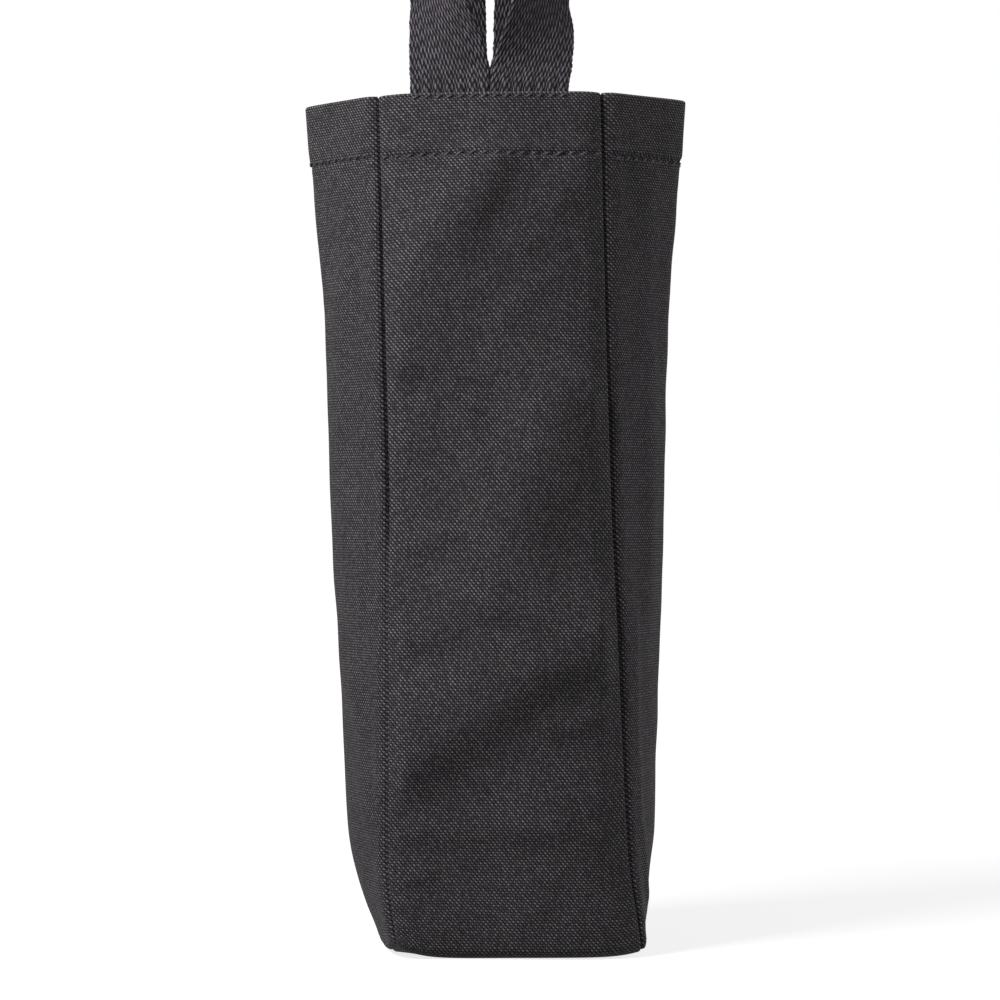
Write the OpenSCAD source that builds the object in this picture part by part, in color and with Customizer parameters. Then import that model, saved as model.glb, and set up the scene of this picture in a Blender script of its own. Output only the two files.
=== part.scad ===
// Carrier bag for one bottle: black cotton canvas with two webbing handles.
// One strip of canvas is the front, the base and the back. Two gussets, creased outwards,
// are sewn in between its long edges. The mouth is hemmed, and the two ends of each handle
// are tucked into the hem side by side.
// X runs to the right, Y from the front to the back, Z up. The origin is on the floor under
// the middle of the bag. Lengths are in millimetres.

/* [Bag] */
// Height of the rim above the floor
rim_h = 350; // [260:5:420]
// Width of the front, base and back strip at the base, seam to seam
panel_w = 100; // [84:1:130]
// Width of a side gusset, seam to seam
gusset_w = 98; // [84:1:130]
// Radius at which the strip folds from a panel into the base
base_fold_r = 7; // [4:0.5:9]
// How far the front and back panels bow outwards
crown = 6; // [2:0.5:9]

/* [Cloth] */
// Thickness of the canvas
canvas_t = 0.85; // [0.6:0.05:1.1]
// Width of the turned-in edges inside the side seams
allowance_w = 10; // [6:0.5:14]
// Thickness of the two turned-in edges together
allowance_t = 1.7; // [1.2:0.1:2.2]
// Room between two layers of cloth
layer_gap = 0.12; // [0.08:0.01:0.2]
// Room between a gusset and the turned-in edges that lie on it
edge_gap = 0.3; // [0.25:0.05:0.5]

/* [Hem] */
// Depth of the hem under the rim
hem_depth = 27; // [20:1:36]
// Drop of the hem stitches under the rim
hem_stitch_drop = 24; // [14:1:30]
// Drop of the stitches that hold the handles, under the rim
rim_stitch_drop = 1.75; // [1.5:0.05:2.2]
// Distance between the middles of the two layers of the hem
hem_pitch = 1.3; // [1.2:0.05:1.6]

/* [Handles] */
// Width of the webbing
web_w = 32; // [24:1:36]
// Thickness of the webbing
web_t = 2; // [1.4:0.1:2.4]
// Gap between the two ends of one handle at the rim
leg_gap = 0.6; // [0.4:0.1:4]
// Height of a handle's loop above the rim
handle_rise = 135; // [100:5:220]
// Radius of the bow at the top of a handle
bow_r = 20; // [18:1:28]
// Gap between the two bows where the handles lean together
bow_gap = 2; // [1:0.5:10]
// Room around the webbing in the hem
web_gap = 0.25; // [0.2:0.05:0.35]
// Distance of the webbing's raw end from the rim
raw_end_drop = 9.5; // [9:0.5:14]

/* [Thread] */
// Diameter of the sewing thread
thread_d = 0.4; // [0.3:0.05:0.45]
// Diameter of the overlocked bead on the turned-in edges
overlock_d = 1.4; // [1:0.1:1.8]

/* [Stance] */
// Turn of the base against the rim, in degrees
base_turn_angle = 4.8; // [0:0.2:8]
// How far the base stands to the right of the rim
base_lean = 3; // [0:0.5:6]
// How far the two panels sit to the left of the middle at the rim
panel_slip = 2.4; // [0:0.2:4]
// How far the four corners of the base are drawn up
corner_lift = 4; // [0:0.5:6]

/* [Hidden] */

canvas_colour = "#38363a";
edge_colour = "#302e32";
thread_colour = "#262427";
web_colour = "#444046";

// Heights and clearances that follow from the sizes above
base_z = canvas_t / 2;
seam_gap = canvas_t / 2 + layer_gap;
fold_r = hem_pitch / 2;
rim_z = rim_h - fold_r - canvas_t / 2;
hem_low = rim_h - hem_depth;
stitch_z = rim_h - hem_stitch_drop;
straight_z = base_z + base_fold_r;
web_seat = canvas_t / 2 + web_gap + web_t / 2;
pocket_depth = 2 * web_seat - hem_pitch;
edge_seat = canvas_t / 2 + edge_gap + allowance_t / 2;
tight_r = 1.5 * overlock_d;
lift_h = 3 * base_fold_r;
thread_seat = canvas_t / 2 + layer_gap / 4 + thread_d / 2;
probe = canvas_t / 8;

// Along the height, as shares of the rim's height: half width of the panels as a share of
// panel_w / 2, and how far the crease of a gusset stands out as a share of gusset_w / 2
half_width_share = [[0, 1], [0.05, 0.995], [0.15, 0.97], [0.29, 0.945], [0.41, 0.927],
                    [0.55, 0.907], [1, 0.907]];
crease_out_share = [[0, 0], [0.025, 0.075], [0.05, 0.15], [0.085, 0.225], [0.14, 0.3],
                    [0.23, 0.345], [0.35, 0.4], [0.5, 0.475], [0.65, 0.508], [0.77, 0.54],
                    [0.85, 0.59], [1, 0.665]];
// Bow of the panels as a share of crown; power and rounding of a gusset's section, which is
// a soft curve at the base and a crease at the rim
crown_share = [[0, 0], [0.06, 0.15], [0.15, 0.5], [0.4, 1], [0.75, 1], [1, 0.85]];
crease_power_share = [[0, 2], [0.15, 1.7], [0.5, 1.35], [1, 1.15]];
crease_round_share = [[0, 0.3], [0.3, 0.15], [1, 0.08]];
// The stance along the height, as shares of base_turn_angle, base_lean and panel_slip
turn_share = [[0, 1], [0.15, 0.67], [0.5, 0.33], [0.76, 0.1], [1, 0]];
lean_share = [[0, 1], [0.15, 0.77], [0.35, 0.53], [0.5, 0.3], [1, 0]];
slip_share = [[0, 0], [0.5, 0], [0.76, 0.48], [1, 1]];

// Along a handle's leg, from the rim to the bow: how far it has spread from its place at the
// rim to the bow's radius, how far it has turned edge-on, and how far it has leant inwards
front_spread_share = [[0, 0], [0.32, 1.1], [0.6, 1.15], [1, 1]];
back_spread_share = [[0, 0], [0.32, 0.4], [0.6, 0.9], [1, 1]];
front_twist_share = [[0, 0], [0.1, 0.06], [0.32, 0.47], [0.6, 0.83], [0.85, 0.98], [1, 1]];
back_twist_share = [[0, 0], [0.15, 0.03], [0.32, 0.12], [0.6, 0.55], [0.85, 0.93], [1, 1]];
inward_share = [[0, 0], [0.1, 0.03], [0.35, 0.3], [0.7, 0.75], [1, 1]];

// How far the hem's inner layer stops short of the corners, as a share of its depth inwards
miter_share = 0.6;

// Where the rows and columns of the cloth lie
panel_column_share = [-1, -0.94, -0.84, -0.73, -0.5, -0.25, 0, 0.25, 0.5, 0.73, 0.84, 0.94, 1];
gusset_column_share = [-1, -0.87, -0.7, -0.52, -0.33, -0.17, -0.06, 0, 0.06, 0.17, 0.33, 0.52, 0.7, 0.87, 1];
wall_row_share = [0, 0.03, 0.07, 0.12, 0.19, 0.28, 0.38, 0.5, 0.62, 0.74, 0.86, 1];
taper_row_share = [1, 0.8, 0.5, 0.2, 0];
base_row_share = [-0.87, -0.7, -0.52, -0.17, 0.17, 0.52, 0.7, 0.87];
leg_row_share = [0, 0.03, 0.07, 0.12, 0.18, 0.25, 0.33, 0.42, 0.52, 0.63, 0.75, 0.88, 1];
web_column_share = [-1, -0.5, 0, 0.5, 1];
edge_column_share = [0, 0.5, 1];

function clamp01(q) = min(max(q, 0), 1);
function ease(q) = let(c = clamp01(q)) c * c * (3 - 2 * c);
function unit(v) = v / norm(v);
function reversed(list) = [for (i = [len(list) - 1:-1:0]) list[i]];

// A smooth curve through a table of [place, value] pairs
function piece_of(table, x, i = 0) =
    i >= len(table) - 2 || x < table[i + 1][0] ? i : piece_of(table, x, i + 1);
function slope_of(table, i) =
    let(a = max(i - 1, 0), b = min(i + 1, len(table) - 1))
    (table[b][1] - table[a][1]) / (table[b][0] - table[a][0]);
function smooth(table, x) =
    let(i = piece_of(table, x),
        h = table[i + 1][0] - table[i][0],
        q = clamp01((x - table[i][0]) / h))
    table[i][1] * (1 + 2 * q) * pow(1 - q, 2) + slope_of(table, i) * h * q * pow(1 - q, 2)
    + table[i + 1][1] * q * q * (3 - 2 * q) + slope_of(table, i + 1) * h * q * q * (q - 1);

// The bag's shape before it is turned and leant
function half_width(z) = panel_w / 2 * smooth(half_width_share, z / rim_h);
function crease_out(z) = gusset_w / 2 * smooth(crease_out_share, z / rim_h);
function half_depth(z) = sqrt(pow(gusset_w / 2, 2) - pow(crease_out(z), 2));
function bow_out(z) = crown * smooth(crown_share, z / rim_h);
function panel_y(x, z) = -half_depth(z) - bow_out(z) * (1 - pow(x / half_width(z), 2));

// Half depth of the side profile, drawn in by an inset, with its rounded lower corners
function profile_half(z, inset) =
    let(r = max(base_fold_r - inset, tight_r), rise = z - base_z - inset)
    half_depth(z) - inset - (rise < r ? r - sqrt(max(r * r - pow(r - rise, 2), 0)) : 0);
function corner_arc(inset, angles) =
    let(r = max(base_fold_r - inset, tight_r))
    [for (a = angles) [-half_depth(straight_z) + inset + r * (1 - cos(a)),
                       base_z + inset + r * (1 - sin(a))]];
// Points [y, z] down the front, along the base and up the back, from a top height
function side_profile(inset, top) =
    let(walls = [for (s = reversed(wall_row_share))
                 let(z = straight_z + (top - straight_z) * s)
                 if (s > 0.05) [-half_depth(z) + inset, z]],
        front = concat(walls, corner_arc(inset, [0:22.5:90])),
        run = half_depth(straight_z) - base_fold_r)
    concat(front, [for (s = base_row_share) [run * s, base_z + inset]],
           [for (p = reversed(front)) [-p[0], p[1]]]);

// Section of the right gusset, out from the seam line
function crease_shape(v, z) =
    let(p = smooth(crease_power_share, z / rim_h) / 2,
        s = pow(smooth(crease_round_share, z / rim_h), 2))
    (pow(1 + s, p) - pow(v * v + s, p)) / (pow(1 + s, p) - pow(s, p));
function gusset_at(y, z) =
    [half_width(z) + crease_out(z) * crease_shape(y / profile_half(z, 0), z), y, z];
function gusset_in(y, z, d) =
    let(along = gusset_at(y + probe, z) - gusset_at(y - probe, z),
        up = gusset_at(y, z + probe) - gusset_at(y, z - probe))
    gusset_at(y, z) + d * unit(cross(up, along));

// Turns, leans and slips a point as the standing bag does. A turn of -1 first takes it to
// the opposite side of the bag.
function set_down(p, side = 1) =
    let(x = side * p[0], y = side * p[1], z = p[2], t = z / rim_h,
        a = base_turn_angle * smooth(turn_share, t),
        over = (abs(x) - half_width(z)) / max(crease_out(z), probe),
        slip = panel_slip * smooth(slip_share, t) * (1 - clamp01(over)),
        lift = corner_lift * pow(min(abs(x) / (panel_w / 2), 1), 6)
               * pow(min(abs(y) / (gusset_w / 2 - base_fold_r), 1), 4)
               * pow(1 - clamp01(z / lift_h), 2))
    [x * cos(a) - y * sin(a) + base_lean * smooth(lean_share, t) - slip,
     x * sin(a) + y * cos(a), z + lift];
function set_down_grid(grid, side = 1) = [for (row = grid) [for (p = row) set_down(p, side)]];

// A layer of cloth: a grid of points on its middle surface, given a thickness
function two_triangles(a, b, c, d) = [[a, b, c], [a, c, d]];
function across(g, i, j) =
    let(n = len(g) - 1, m = len(g[0]) - 1)
    unit(cross(g[min(i + 1, n)][j] - g[max(i - 1, 0)][j], g[i][min(j + 1, m)] - g[i][max(j - 1, 0)]));
module cloth(g, thickness) {
    n = len(g);
    m = len(g[0]);
    upper = [for (i = [0:n - 1]) for (j = [0:m - 1]) g[i][j] + thickness / 2 * across(g, i, j)];
    lower = [for (i = [0:n - 1]) for (j = [0:m - 1]) g[i][j] - thickness / 2 * across(g, i, j)];
    far = n * m;
    faces = concat(
        [for (i = [0:n - 2]) for (j = [0:m - 2])
            for (f = two_triangles(i * m + j, i * m + j + 1, (i + 1) * m + j + 1, (i + 1) * m + j)) f],
        [for (i = [0:n - 2]) for (j = [0:m - 2])
            for (f = two_triangles(far + i * m + j, far + (i + 1) * m + j,
                                   far + (i + 1) * m + j + 1, far + i * m + j + 1)) f],
        [for (i = [0:n - 2])
            for (f = two_triangles(i * m, (i + 1) * m, far + (i + 1) * m, far + i * m)) f],
        [for (i = [0:n - 2])
            for (f = two_triangles((i + 1) * m + m - 1, i * m + m - 1,
                                   far + i * m + m - 1, far + (i + 1) * m + m - 1)) f],
        [for (j = [0:m - 2]) for (f = two_triangles(j + 1, j, far + j, far + j + 1)) f],
        [for (j = [0:m - 2])
            for (f = two_triangles((n - 1) * m + j, (n - 1) * m + j + 1,
                                   far + (n - 1) * m + j + 1, far + (n - 1) * m + j)) f]);
    polyhedron(points = concat(upper, lower), faces = faces, convexity = 10);
}

// A thread: a six-sided tube along a path, with a direction that the path never takes
module thread(path, d, off_path, closed = false) {
    sides = 6;
    n = len(path);
    rings = [for (i = [0:n - 1])
        let(before = closed ? path[(i + n - 1) % n] : path[max(i - 1, 0)],
            after = closed ? path[(i + 1) % n] : path[min(i + 1, n - 1)],
            t = unit(after - before),
            a = unit(off_path - (off_path * t) * t),
            b = cross(t, a))
        for (k = [0:sides - 1])
            path[i] + d / 2 * (cos(k * 360 / sides) * a + sin(k * 360 / sides) * b)];
    last = closed ? n - 1 : n - 2;
    wall = [for (i = [0:last]) for (k = [0:sides - 1])
        let(j = (i + 1) % n, l = (k + 1) % sides)
        for (f = two_triangles(i * sides + k, j * sides + k, j * sides + l, i * sides + l)) f];
    caps = closed ? [] : [[for (k = [0:sides - 1]) k],
                          [for (k = [sides - 1:-1:0]) (n - 1) * sides + k]];
    polyhedron(points = rings, faces = concat(wall, caps), convexity = 10);
}

// The hem: how deep its inner layer lies, with the pocket around the handle's ends
function pocket_across(x) =
    1 - ease((abs(x) - web_w - leg_gap) / (half_width(rim_h) - seam_gap - web_w - leg_gap));
function hem_inner(x, z) =
    hem_pitch + pocket_depth * pocket_across(x) * ease((rim_z - z) / (raw_end_drop - fold_r));
// Rows of a hemmed wall as [height, share of the hem's depth], from the hem's raw edge over
// the rim and down to the straight part's foot
hem_rows = concat([[hem_low, 1], [(hem_low + rim_h - raw_end_drop) / 2, 1]],
    [for (s = taper_row_share) [rim_z - (raw_end_drop - fold_r) * s, 1]]);
fold_rows = [for (a = [45, 90, 135]) [rim_z + fold_r * sin(a), (1 + cos(a)) / 2]];
wall_rows = concat([[rim_z, 0], [stitch_z, 0]],
    [for (s = reversed(wall_row_share)) [straight_z + (hem_low - straight_z) * s, 0]]);

// The strip that is the front, the base and the back
module body_strip() {
    function wall_point(u, row) =
        let(x0 = u * (half_width(row[0]) - seam_gap),
            d = row[1] * hem_inner(x0, min(row[0], rim_z)),
            x = x0 - u * miter_share * min(d, hem_pitch))
        [x, panel_y(x0, row[0]) + d, row[0]];
    front = concat(
        [for (row = concat(hem_rows, fold_rows, wall_rows))
            [for (u = panel_column_share) wall_point(u, row)]],
        [for (p = corner_arc(0, [22.5:22.5:67.5]))
            [for (u = panel_column_share)
                [u * (half_width(p[1]) - seam_gap), p[0] - bow_out(p[1]) * (1 - u * u), p[1]]]]);
    run = half_depth(straight_z) - base_fold_r;
    base = [for (s = concat([-1], base_row_share, [1]))
        [for (u = panel_column_share) [u * (half_width(base_z) - seam_gap), s * run, base_z]]];
    back = [for (row = reversed(front)) [for (p = row) [p[0], -p[1], p[2]]]];
    color(canvas_colour) cloth(set_down_grid(concat(front, base, back)), canvas_t);
}

// A side gusset with its own stretch of the hem
module gusset(side) {
    r = base_fold_r - seam_gap;
    foot_rows = [for (a = [90, 60, 30, 0]) [base_z + seam_gap + r * (1 - cos(a)), 0]];
    rows = concat(hem_rows, fold_rows, wall_rows, [for (i = [1:3]) foot_rows[i]]);
    grid = [for (row = rows)
        let(d = row[1] * hem_pitch, half = profile_half(row[0], seam_gap + miter_share * d))
        [for (v = gusset_column_share) gusset_in(v * half, row[0], d)]];
    color(canvas_colour) cloth(set_down_grid(grid, side), canvas_t);
}

// The turned-in edges of strip and gusset, which lie on the gusset's inner face
module seam_edge(side) {
    profiles = [for (s = edge_column_share)
        side_profile(seam_gap + edge_gap + allowance_w * s, hem_low - web_t)];
    grid = [for (i = [0:len(profiles[0]) - 1])
        [for (p = profiles) gusset_in(p[i][0], p[i][1], edge_seat)]];
    color(edge_colour) cloth(set_down_grid(grid, side), allowance_t);
}

// The overlocked bead on their raw edge
module overlock(side) {
    inset = seam_gap + edge_gap + allowance_w + layer_gap + overlock_d / 2;
    path = [for (p = side_profile(inset, hem_low - web_t))
        set_down(gusset_in(p[0], p[1], edge_seat), side)];
    color(thread_colour) thread(path, overlock_d, [1, 0, 0]);
}

// The seam's thread, in the groove between strip and gusset
module seam_thread(side) {
    path = [for (p = side_profile(0, rim_z)) set_down([half_width(p[1]), p[0], p[1]], side)];
    color(thread_colour) thread(path, thread_d, [1, 0, 0]);
}

// The stitches of the hem, all round the mouth
module hem_thread() {
    half = profile_half(stitch_z, seam_gap);
    front = [for (u = panel_column_share)
        let(x = u * (half_width(stitch_z) - seam_gap)) [x, panel_y(x, stitch_z) - thread_seat, stitch_z]];
    right = [for (v = gusset_column_share) gusset_in(v * half, stitch_z, -thread_seat)];
    half_round = concat(front, right);
    path = concat([for (p = half_round) set_down(p)], [for (p = half_round) set_down(p, -1)]);
    color(thread_colour) thread(path, thread_d, [0, 0, 1], closed = true);
}

// The stitches just under the rim that hold a handle up
module rim_thread(side) {
    z = rim_h - rim_stitch_drop;
    path = [for (u = panel_column_share)
        let(x = u * (half_width(z) - seam_gap)) set_down([x, panel_y(x, z) - thread_seat, z], side)];
    color(thread_colour) thread(path, thread_d, [0, 0, 1]);
}

// The two ends of a handle: down in the hem's pocket, round its raw edge and up to the rim
leg_centre = (web_w + leg_gap) / 2;
module handle_ends(side) {
    raw_z = rim_h - raw_end_drop;
    down = [for (z = [raw_z, (raw_z + hem_low) / 2, hem_low]) [web_seat, z]];
    turn = [for (a = [30:30:150])
        [web_seat * (2 - cos(a)), hem_low - web_seat * sin(a)]];
    up = [for (row = hem_rows) if (row[0] < rim_z) [0, row[0]]];
    top = rim_z - layer_gap;
    color(web_colour) for (leg = [-1, 1]) {
        grid = concat(
            [for (p = concat(down, turn)) [for (e = web_column_share)
                let(x = leg * leg_centre + e * web_w / 2) [x, panel_y(x, p[1]) + p[0], p[1]]]],
            [for (z = concat([for (p = up) p[1]], [top])) [for (e = web_column_share)
                let(x = leg * leg_centre + e * web_w / 2)
                [x, panel_y(x, z) + hem_inner(x, z) + web_seat, z]]]);
        cloth(set_down_grid(grid, side), web_t);
    }
}

// The loop of a handle, from the rim up one leg, round the bow and down the other
module handle(side, spread_share, twist_share) {
    start = rim_z + layer_gap;
    leg_h = handle_rise - bow_r;
    y_rim = panel_y(0, rim_z) + hem_pitch + web_seat;
    y_bow = -(web_w + bow_gap) / 2;
    function leg_row(leg, s) =
        let(z = start + (rim_h + leg_h - start) * s,
            c = leg_centre + (bow_r - leg_centre) * smooth(spread_share, s),
            a = 90 * smooth(twist_share, s),
            y = y_rim + (y_bow - y_rim) * smooth(inward_share, s),
            flat = 1 - ease(4 * s))
        [for (e = web_column_share)
            let(w = e * web_w / 2, x = -leg * (c - w * cos(a)))
            [x, y - w * sin(a) + flat * bow_out(rim_z) * pow(x / half_width(rim_z), 2), z]];
    bow = [for (a = [165:-15:15]) [for (e = web_column_share)
        [bow_r * cos(a), y_bow - e * web_w / 2, rim_h + leg_h + bow_r * sin(a)]]];
    grid = concat([for (s = leg_row_share) leg_row(1, s)], bow,
                  [for (s = reversed(leg_row_share)) leg_row(-1, s)]);
    color(web_colour) cloth(set_down_grid(grid, side), web_t);
}

module gusset_left() gusset(-1);
module gusset_right() gusset(1);
module seam_edge_left() seam_edge(-1);
module seam_edge_right() seam_edge(1);
module overlock_left() overlock(-1);
module overlock_right() overlock(1);
module seam_thread_left() seam_thread(-1);
module seam_thread_right() seam_thread(1);
module rim_thread_front() rim_thread(1);
module rim_thread_back() rim_thread(-1);
module handle_front_ends() handle_ends(1);
module handle_back_ends() handle_ends(-1);
module handle_front() handle(1, front_spread_share, front_twist_share);
module handle_back() handle(-1, back_spread_share, back_twist_share);

body_strip();
gusset_left();
gusset_right();
seam_edge_left();
seam_edge_right();
overlock_left();
overlock_right();
seam_thread_left();
seam_thread_right();
hem_thread();
rim_thread_front();
rim_thread_back();
handle_front_ends();
handle_back_ends();
handle_front();
handle_back();
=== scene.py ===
# %% [markdown]
# A black canvas carrier bag for one bottle, with two webbing handles.
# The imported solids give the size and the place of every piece. Here each piece gets the look of
# the sewn thing: cloth with rolled seam edges, soft folds and stitches, and woven webbing.
# All lengths are in metres, and MM turns a size in millimetres into metres.

# %% The frame and the solids' box
import math

import bpy
import numpy as np
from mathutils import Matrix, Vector


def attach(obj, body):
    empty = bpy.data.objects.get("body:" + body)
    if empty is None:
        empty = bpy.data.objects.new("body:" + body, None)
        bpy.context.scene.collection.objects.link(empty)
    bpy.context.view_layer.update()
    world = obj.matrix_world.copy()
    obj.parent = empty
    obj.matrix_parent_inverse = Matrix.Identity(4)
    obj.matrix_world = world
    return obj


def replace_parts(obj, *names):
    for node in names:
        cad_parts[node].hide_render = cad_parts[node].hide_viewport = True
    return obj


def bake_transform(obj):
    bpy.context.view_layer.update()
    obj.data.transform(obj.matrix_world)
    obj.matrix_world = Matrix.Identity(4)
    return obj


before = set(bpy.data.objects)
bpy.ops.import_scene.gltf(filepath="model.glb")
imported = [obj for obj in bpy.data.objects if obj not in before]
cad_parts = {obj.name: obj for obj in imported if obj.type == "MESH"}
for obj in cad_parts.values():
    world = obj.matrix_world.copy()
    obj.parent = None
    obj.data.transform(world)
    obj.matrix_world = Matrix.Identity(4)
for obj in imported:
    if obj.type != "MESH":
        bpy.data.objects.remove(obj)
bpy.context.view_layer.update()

MM = 0.001

# %% [markdown]
# The camera comes first, so that every later choice can be looked at from the right place. It
# looks straight along +Y from the height of the bag's middle, with a long lens, so that the
# two gussets show as narrow slopes beside the front panel.

# %% Camera
eye = (1.88 * MM, -1500 * MM, 185 * MM)
frame_width = 1000
focal_pixels = 3597

camera = bpy.data.objects.new("camera", bpy.data.cameras.new("camera"))
camera.data.sensor_width = 36
camera.data.lens = camera.data.sensor_width * focal_pixels / frame_width
camera.location = eye
camera.rotation_euler = (math.radians(90), 0, 0)
bpy.context.scene.collection.objects.link(camera)
bpy.context.scene.camera = camera
print("Lens in mm:", round(camera.data.lens, 1))

# %% [markdown]
# The light is a soft lamp high on the left, which models the folds, and a weak one on the
# right. With the sky, which comes next, they add up to a plain level: a cloth that faces the
# camera renders about as bright as its colour is written.

# %% Lamps


def lamp(name, aside, height, distance, size, watts):
    """A square area lamp aimed at the bag. Aside is its angle from the camera's side of the bag,
    positive to the left, and height is its angle above the horizon, both in degrees."""
    made = bpy.data.objects.new(name, bpy.data.lights.new(name, "AREA"))
    made.data.shape = "SQUARE"
    made.data.size = size
    made.data.energy = watts
    bpy.context.scene.collection.objects.link(made)
    a, h = math.radians(aside), math.radians(height)
    towards = Vector((-math.sin(a) * math.cos(h), -math.cos(a) * math.cos(h), math.sin(h)))
    made.location = bag_middle + towards * distance
    made.rotation_euler = (-towards).to_track_quat("-Z", "Y").to_euler()
    print(name, "stands at", [round(v, 2) for v in made.location])


bag_middle = Vector((0, 0, 210 * MM))
lamp("key_lamp", aside=48, height=36, distance=1.05, size=0.42, watts=14)
lamp("side_lamp", aside=-86, height=18, distance=1.5, size=0.7, watts=7.2)

bpy.context.scene.view_settings.view_transform = "Standard"

# %% [markdown]
# Node trees, for shaders and for geometry alike, are easier to read when adding a node is one
# line. put() adds a node and fills its inputs in order, give() fills inputs by name, and maths()
# gives a shorthand for the many small sums of a pattern.

# %% Helpers for node trees


def fill(tree, socket, value):
    """Links a socket into an input, or sets the input's own value."""
    if isinstance(value, bpy.types.NodeSocket):
        tree.links.new(value, socket)
    elif value is not None:
        socket.default_value = value


def give(tree, sockets, **values):
    """Fills sockets by their names, in which _ stands for a space."""
    for title, value in values.items():
        fill(tree, sockets[title.replace("_", " ")], value)


def put(tree, kind, *inputs, **settings):
    """Adds a node, sets its settings and fills its inputs, in order, with sockets or values."""
    node = tree.nodes.new(kind)
    for name, value in settings.items():
        setattr(node, name, value)
    for place, value in enumerate(inputs):
        fill(tree, node.inputs[place], value)
    return node


def maths(tree):
    """A shorthand for the math nodes of one tree."""
    def of(operation, *inputs):
        return put(tree, "ShaderNodeMath", *inputs, operation=operation).outputs[0]
    return of


def xyz(tree, x, y, z):
    return put(tree, "ShaderNodeCombineXYZ", x, y, z).outputs[0]


def ramp(tree, value, low, high, start=0.0, end=1.0, **settings):
    """Goes from start to end while a value goes from low to high."""
    return put(tree, "ShaderNodeMapRange", value, low, high, start, end, **settings).outputs[0]


def new_group(name, inputs, outputs):
    """A shader node group. Inputs are (name, type, default) and outputs are (name, type)."""
    tree = bpy.data.node_groups.new(name, "ShaderNodeTree")
    for title, kind, default in inputs:
        socket = tree.interface.new_socket(title, in_out="INPUT", socket_type=kind)
        if default is not None:
            socket.default_value = default
    for title, kind in outputs:
        tree.interface.new_socket(title, in_out="OUTPUT", socket_type=kind)
    return tree, tree.nodes.new("NodeGroupInput").outputs, tree.nodes.new("NodeGroupOutput").inputs


FLOAT, VECTOR, COLOUR = "NodeSocketFloat", "NodeSocketVector", "NodeSocketColor"

# %% [markdown]
# The studio is a round floor of white paper under a white sky, so that the bag has a plain
# pale ground from every side. The camera and mirror rays see the sky white, and only a little
# of that reaches the bag as light. The paper glows for the same rays alone, more so further
# out where the lamps don't reach, and its own paint takes the light of the lamps, so that the
# bag's soft shadow stays.

# %% Sky and floor
sky_light, sky_seen, paper_grey = 0.1, 1.0, 0.4
glow_near, glow_far, near_r, far_r = 0.8, 1.0, 0.35, 1.1
floor_r, floor_sides = 6.0, 48
white = (1, 1, 1, 1)


def seen_by_camera(tree):
    """1 for camera, mirror and see-through rays, and 0 for the rays that carry light."""
    path = put(tree, "ShaderNodeLightPath").outputs
    mirror = maths(tree)("MAXIMUM", path["Is Glossy Ray"], path["Is Transmission Ray"])
    return maths(tree)("MAXIMUM", path["Is Camera Ray"], mirror)


world = bpy.data.worlds.new("sky")
world.use_nodes = True
tree = world.node_tree
strength = maths(tree)("MULTIPLY_ADD", seen_by_camera(tree), sky_seen - sky_light, sky_light)
give(tree, tree.nodes["Background"].inputs, Strength=strength, Color=white)
bpy.context.scene.world = world

turns = np.linspace(0, 2 * math.pi, floor_sides + 1)[:-1]
floor_mesh = bpy.data.meshes.new("paper_floor")
floor_mesh.from_pydata([(floor_r * math.cos(a), floor_r * math.sin(a), 0) for a in turns], [],
                       [range(len(turns))])
floor = bpy.data.objects.new("paper_floor", floor_mesh)
bpy.context.scene.collection.objects.link(floor)

paper = bpy.data.materials.new("white_paper")
paper.use_nodes = True
tree = paper.node_tree
tree.nodes.clear()
paint = put(tree, "ShaderNodeBsdfDiffuse", (paper_grey, paper_grey, paper_grey, 1))
centre_far = put(tree, "ShaderNodeVectorMath", put(tree, "ShaderNodeTexCoord").outputs["Object"],
                 operation="LENGTH").outputs["Value"]
glow = ramp(tree, centre_far, near_r, far_r, glow_near, glow_far)
shine = put(tree, "ShaderNodeEmission", white, maths(tree)("MULTIPLY", seen_by_camera(tree), glow))
both = put(tree, "ShaderNodeAddShader", paint.outputs[0], shine.outputs[0])
put(tree, "ShaderNodeOutputMaterial", both.outputs[0])
floor_mesh.materials.append(paper)
print("Floor radius in m:", floor_r)

# %% [markdown]
# The construction sizes repeat those of the solids, so that cloth, hem and webbing lie where
# the solids lie. Tables of shares give how the width, the depth and the stance change with
# height, and smooth() draws a soft curve through such a table.

# %% Sizes of the bag
rim_h, panel_w, gusset_w = 350 * MM, 100 * MM, 98 * MM
base_fold_r, crown = 4 * MM, 6 * MM
canvas_t, allowance_w, allowance_t = 0.85 * MM, 10 * MM, 1.7 * MM
seam_press, edge_gap = 0.12 * MM, 0.3 * MM
hem_depth, hem_stitch_drop, rim_stitch_drop, hem_pitch = 27 * MM, 24 * MM, 1.75 * MM, 1.3 * MM
web_w, web_t, leg_gap = 32 * MM, 2 * MM, 0.6 * MM
handle_rise, bow_r, bow_gap = 135 * MM, 20 * MM, 2 * MM
web_gap, raw_end_drop = 0.25 * MM, 9.5 * MM
overlock_d, seam_pitch, hem_stitch_pitch, rim_stitch_pitch = 1.4 * MM, 3 * MM, 5.06 * MM, 4.58 * MM
base_turn, base_lean, panel_slip = math.radians(4.8), 3 * MM, 2.4 * MM
corner_lift, lift_h, side_power, front_power = 4 * MM, 21 * MM, 6, 4
miter_share = 0.6

base_z = canvas_t / 2
seam_gap = canvas_t / 2 - seam_press
hem_fold_r = hem_pitch / 2
rim_z = rim_h - hem_fold_r - canvas_t / 2
hem_low = rim_h - hem_depth
straight_z = base_z + base_fold_r
web_seat = canvas_t / 2 + web_gap + web_t / 2
pocket_depth = 2 * web_seat - hem_pitch
edge_seat = canvas_t / 2 + edge_gap + allowance_t / 2
tight_r = 1.5 * overlock_d

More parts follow.
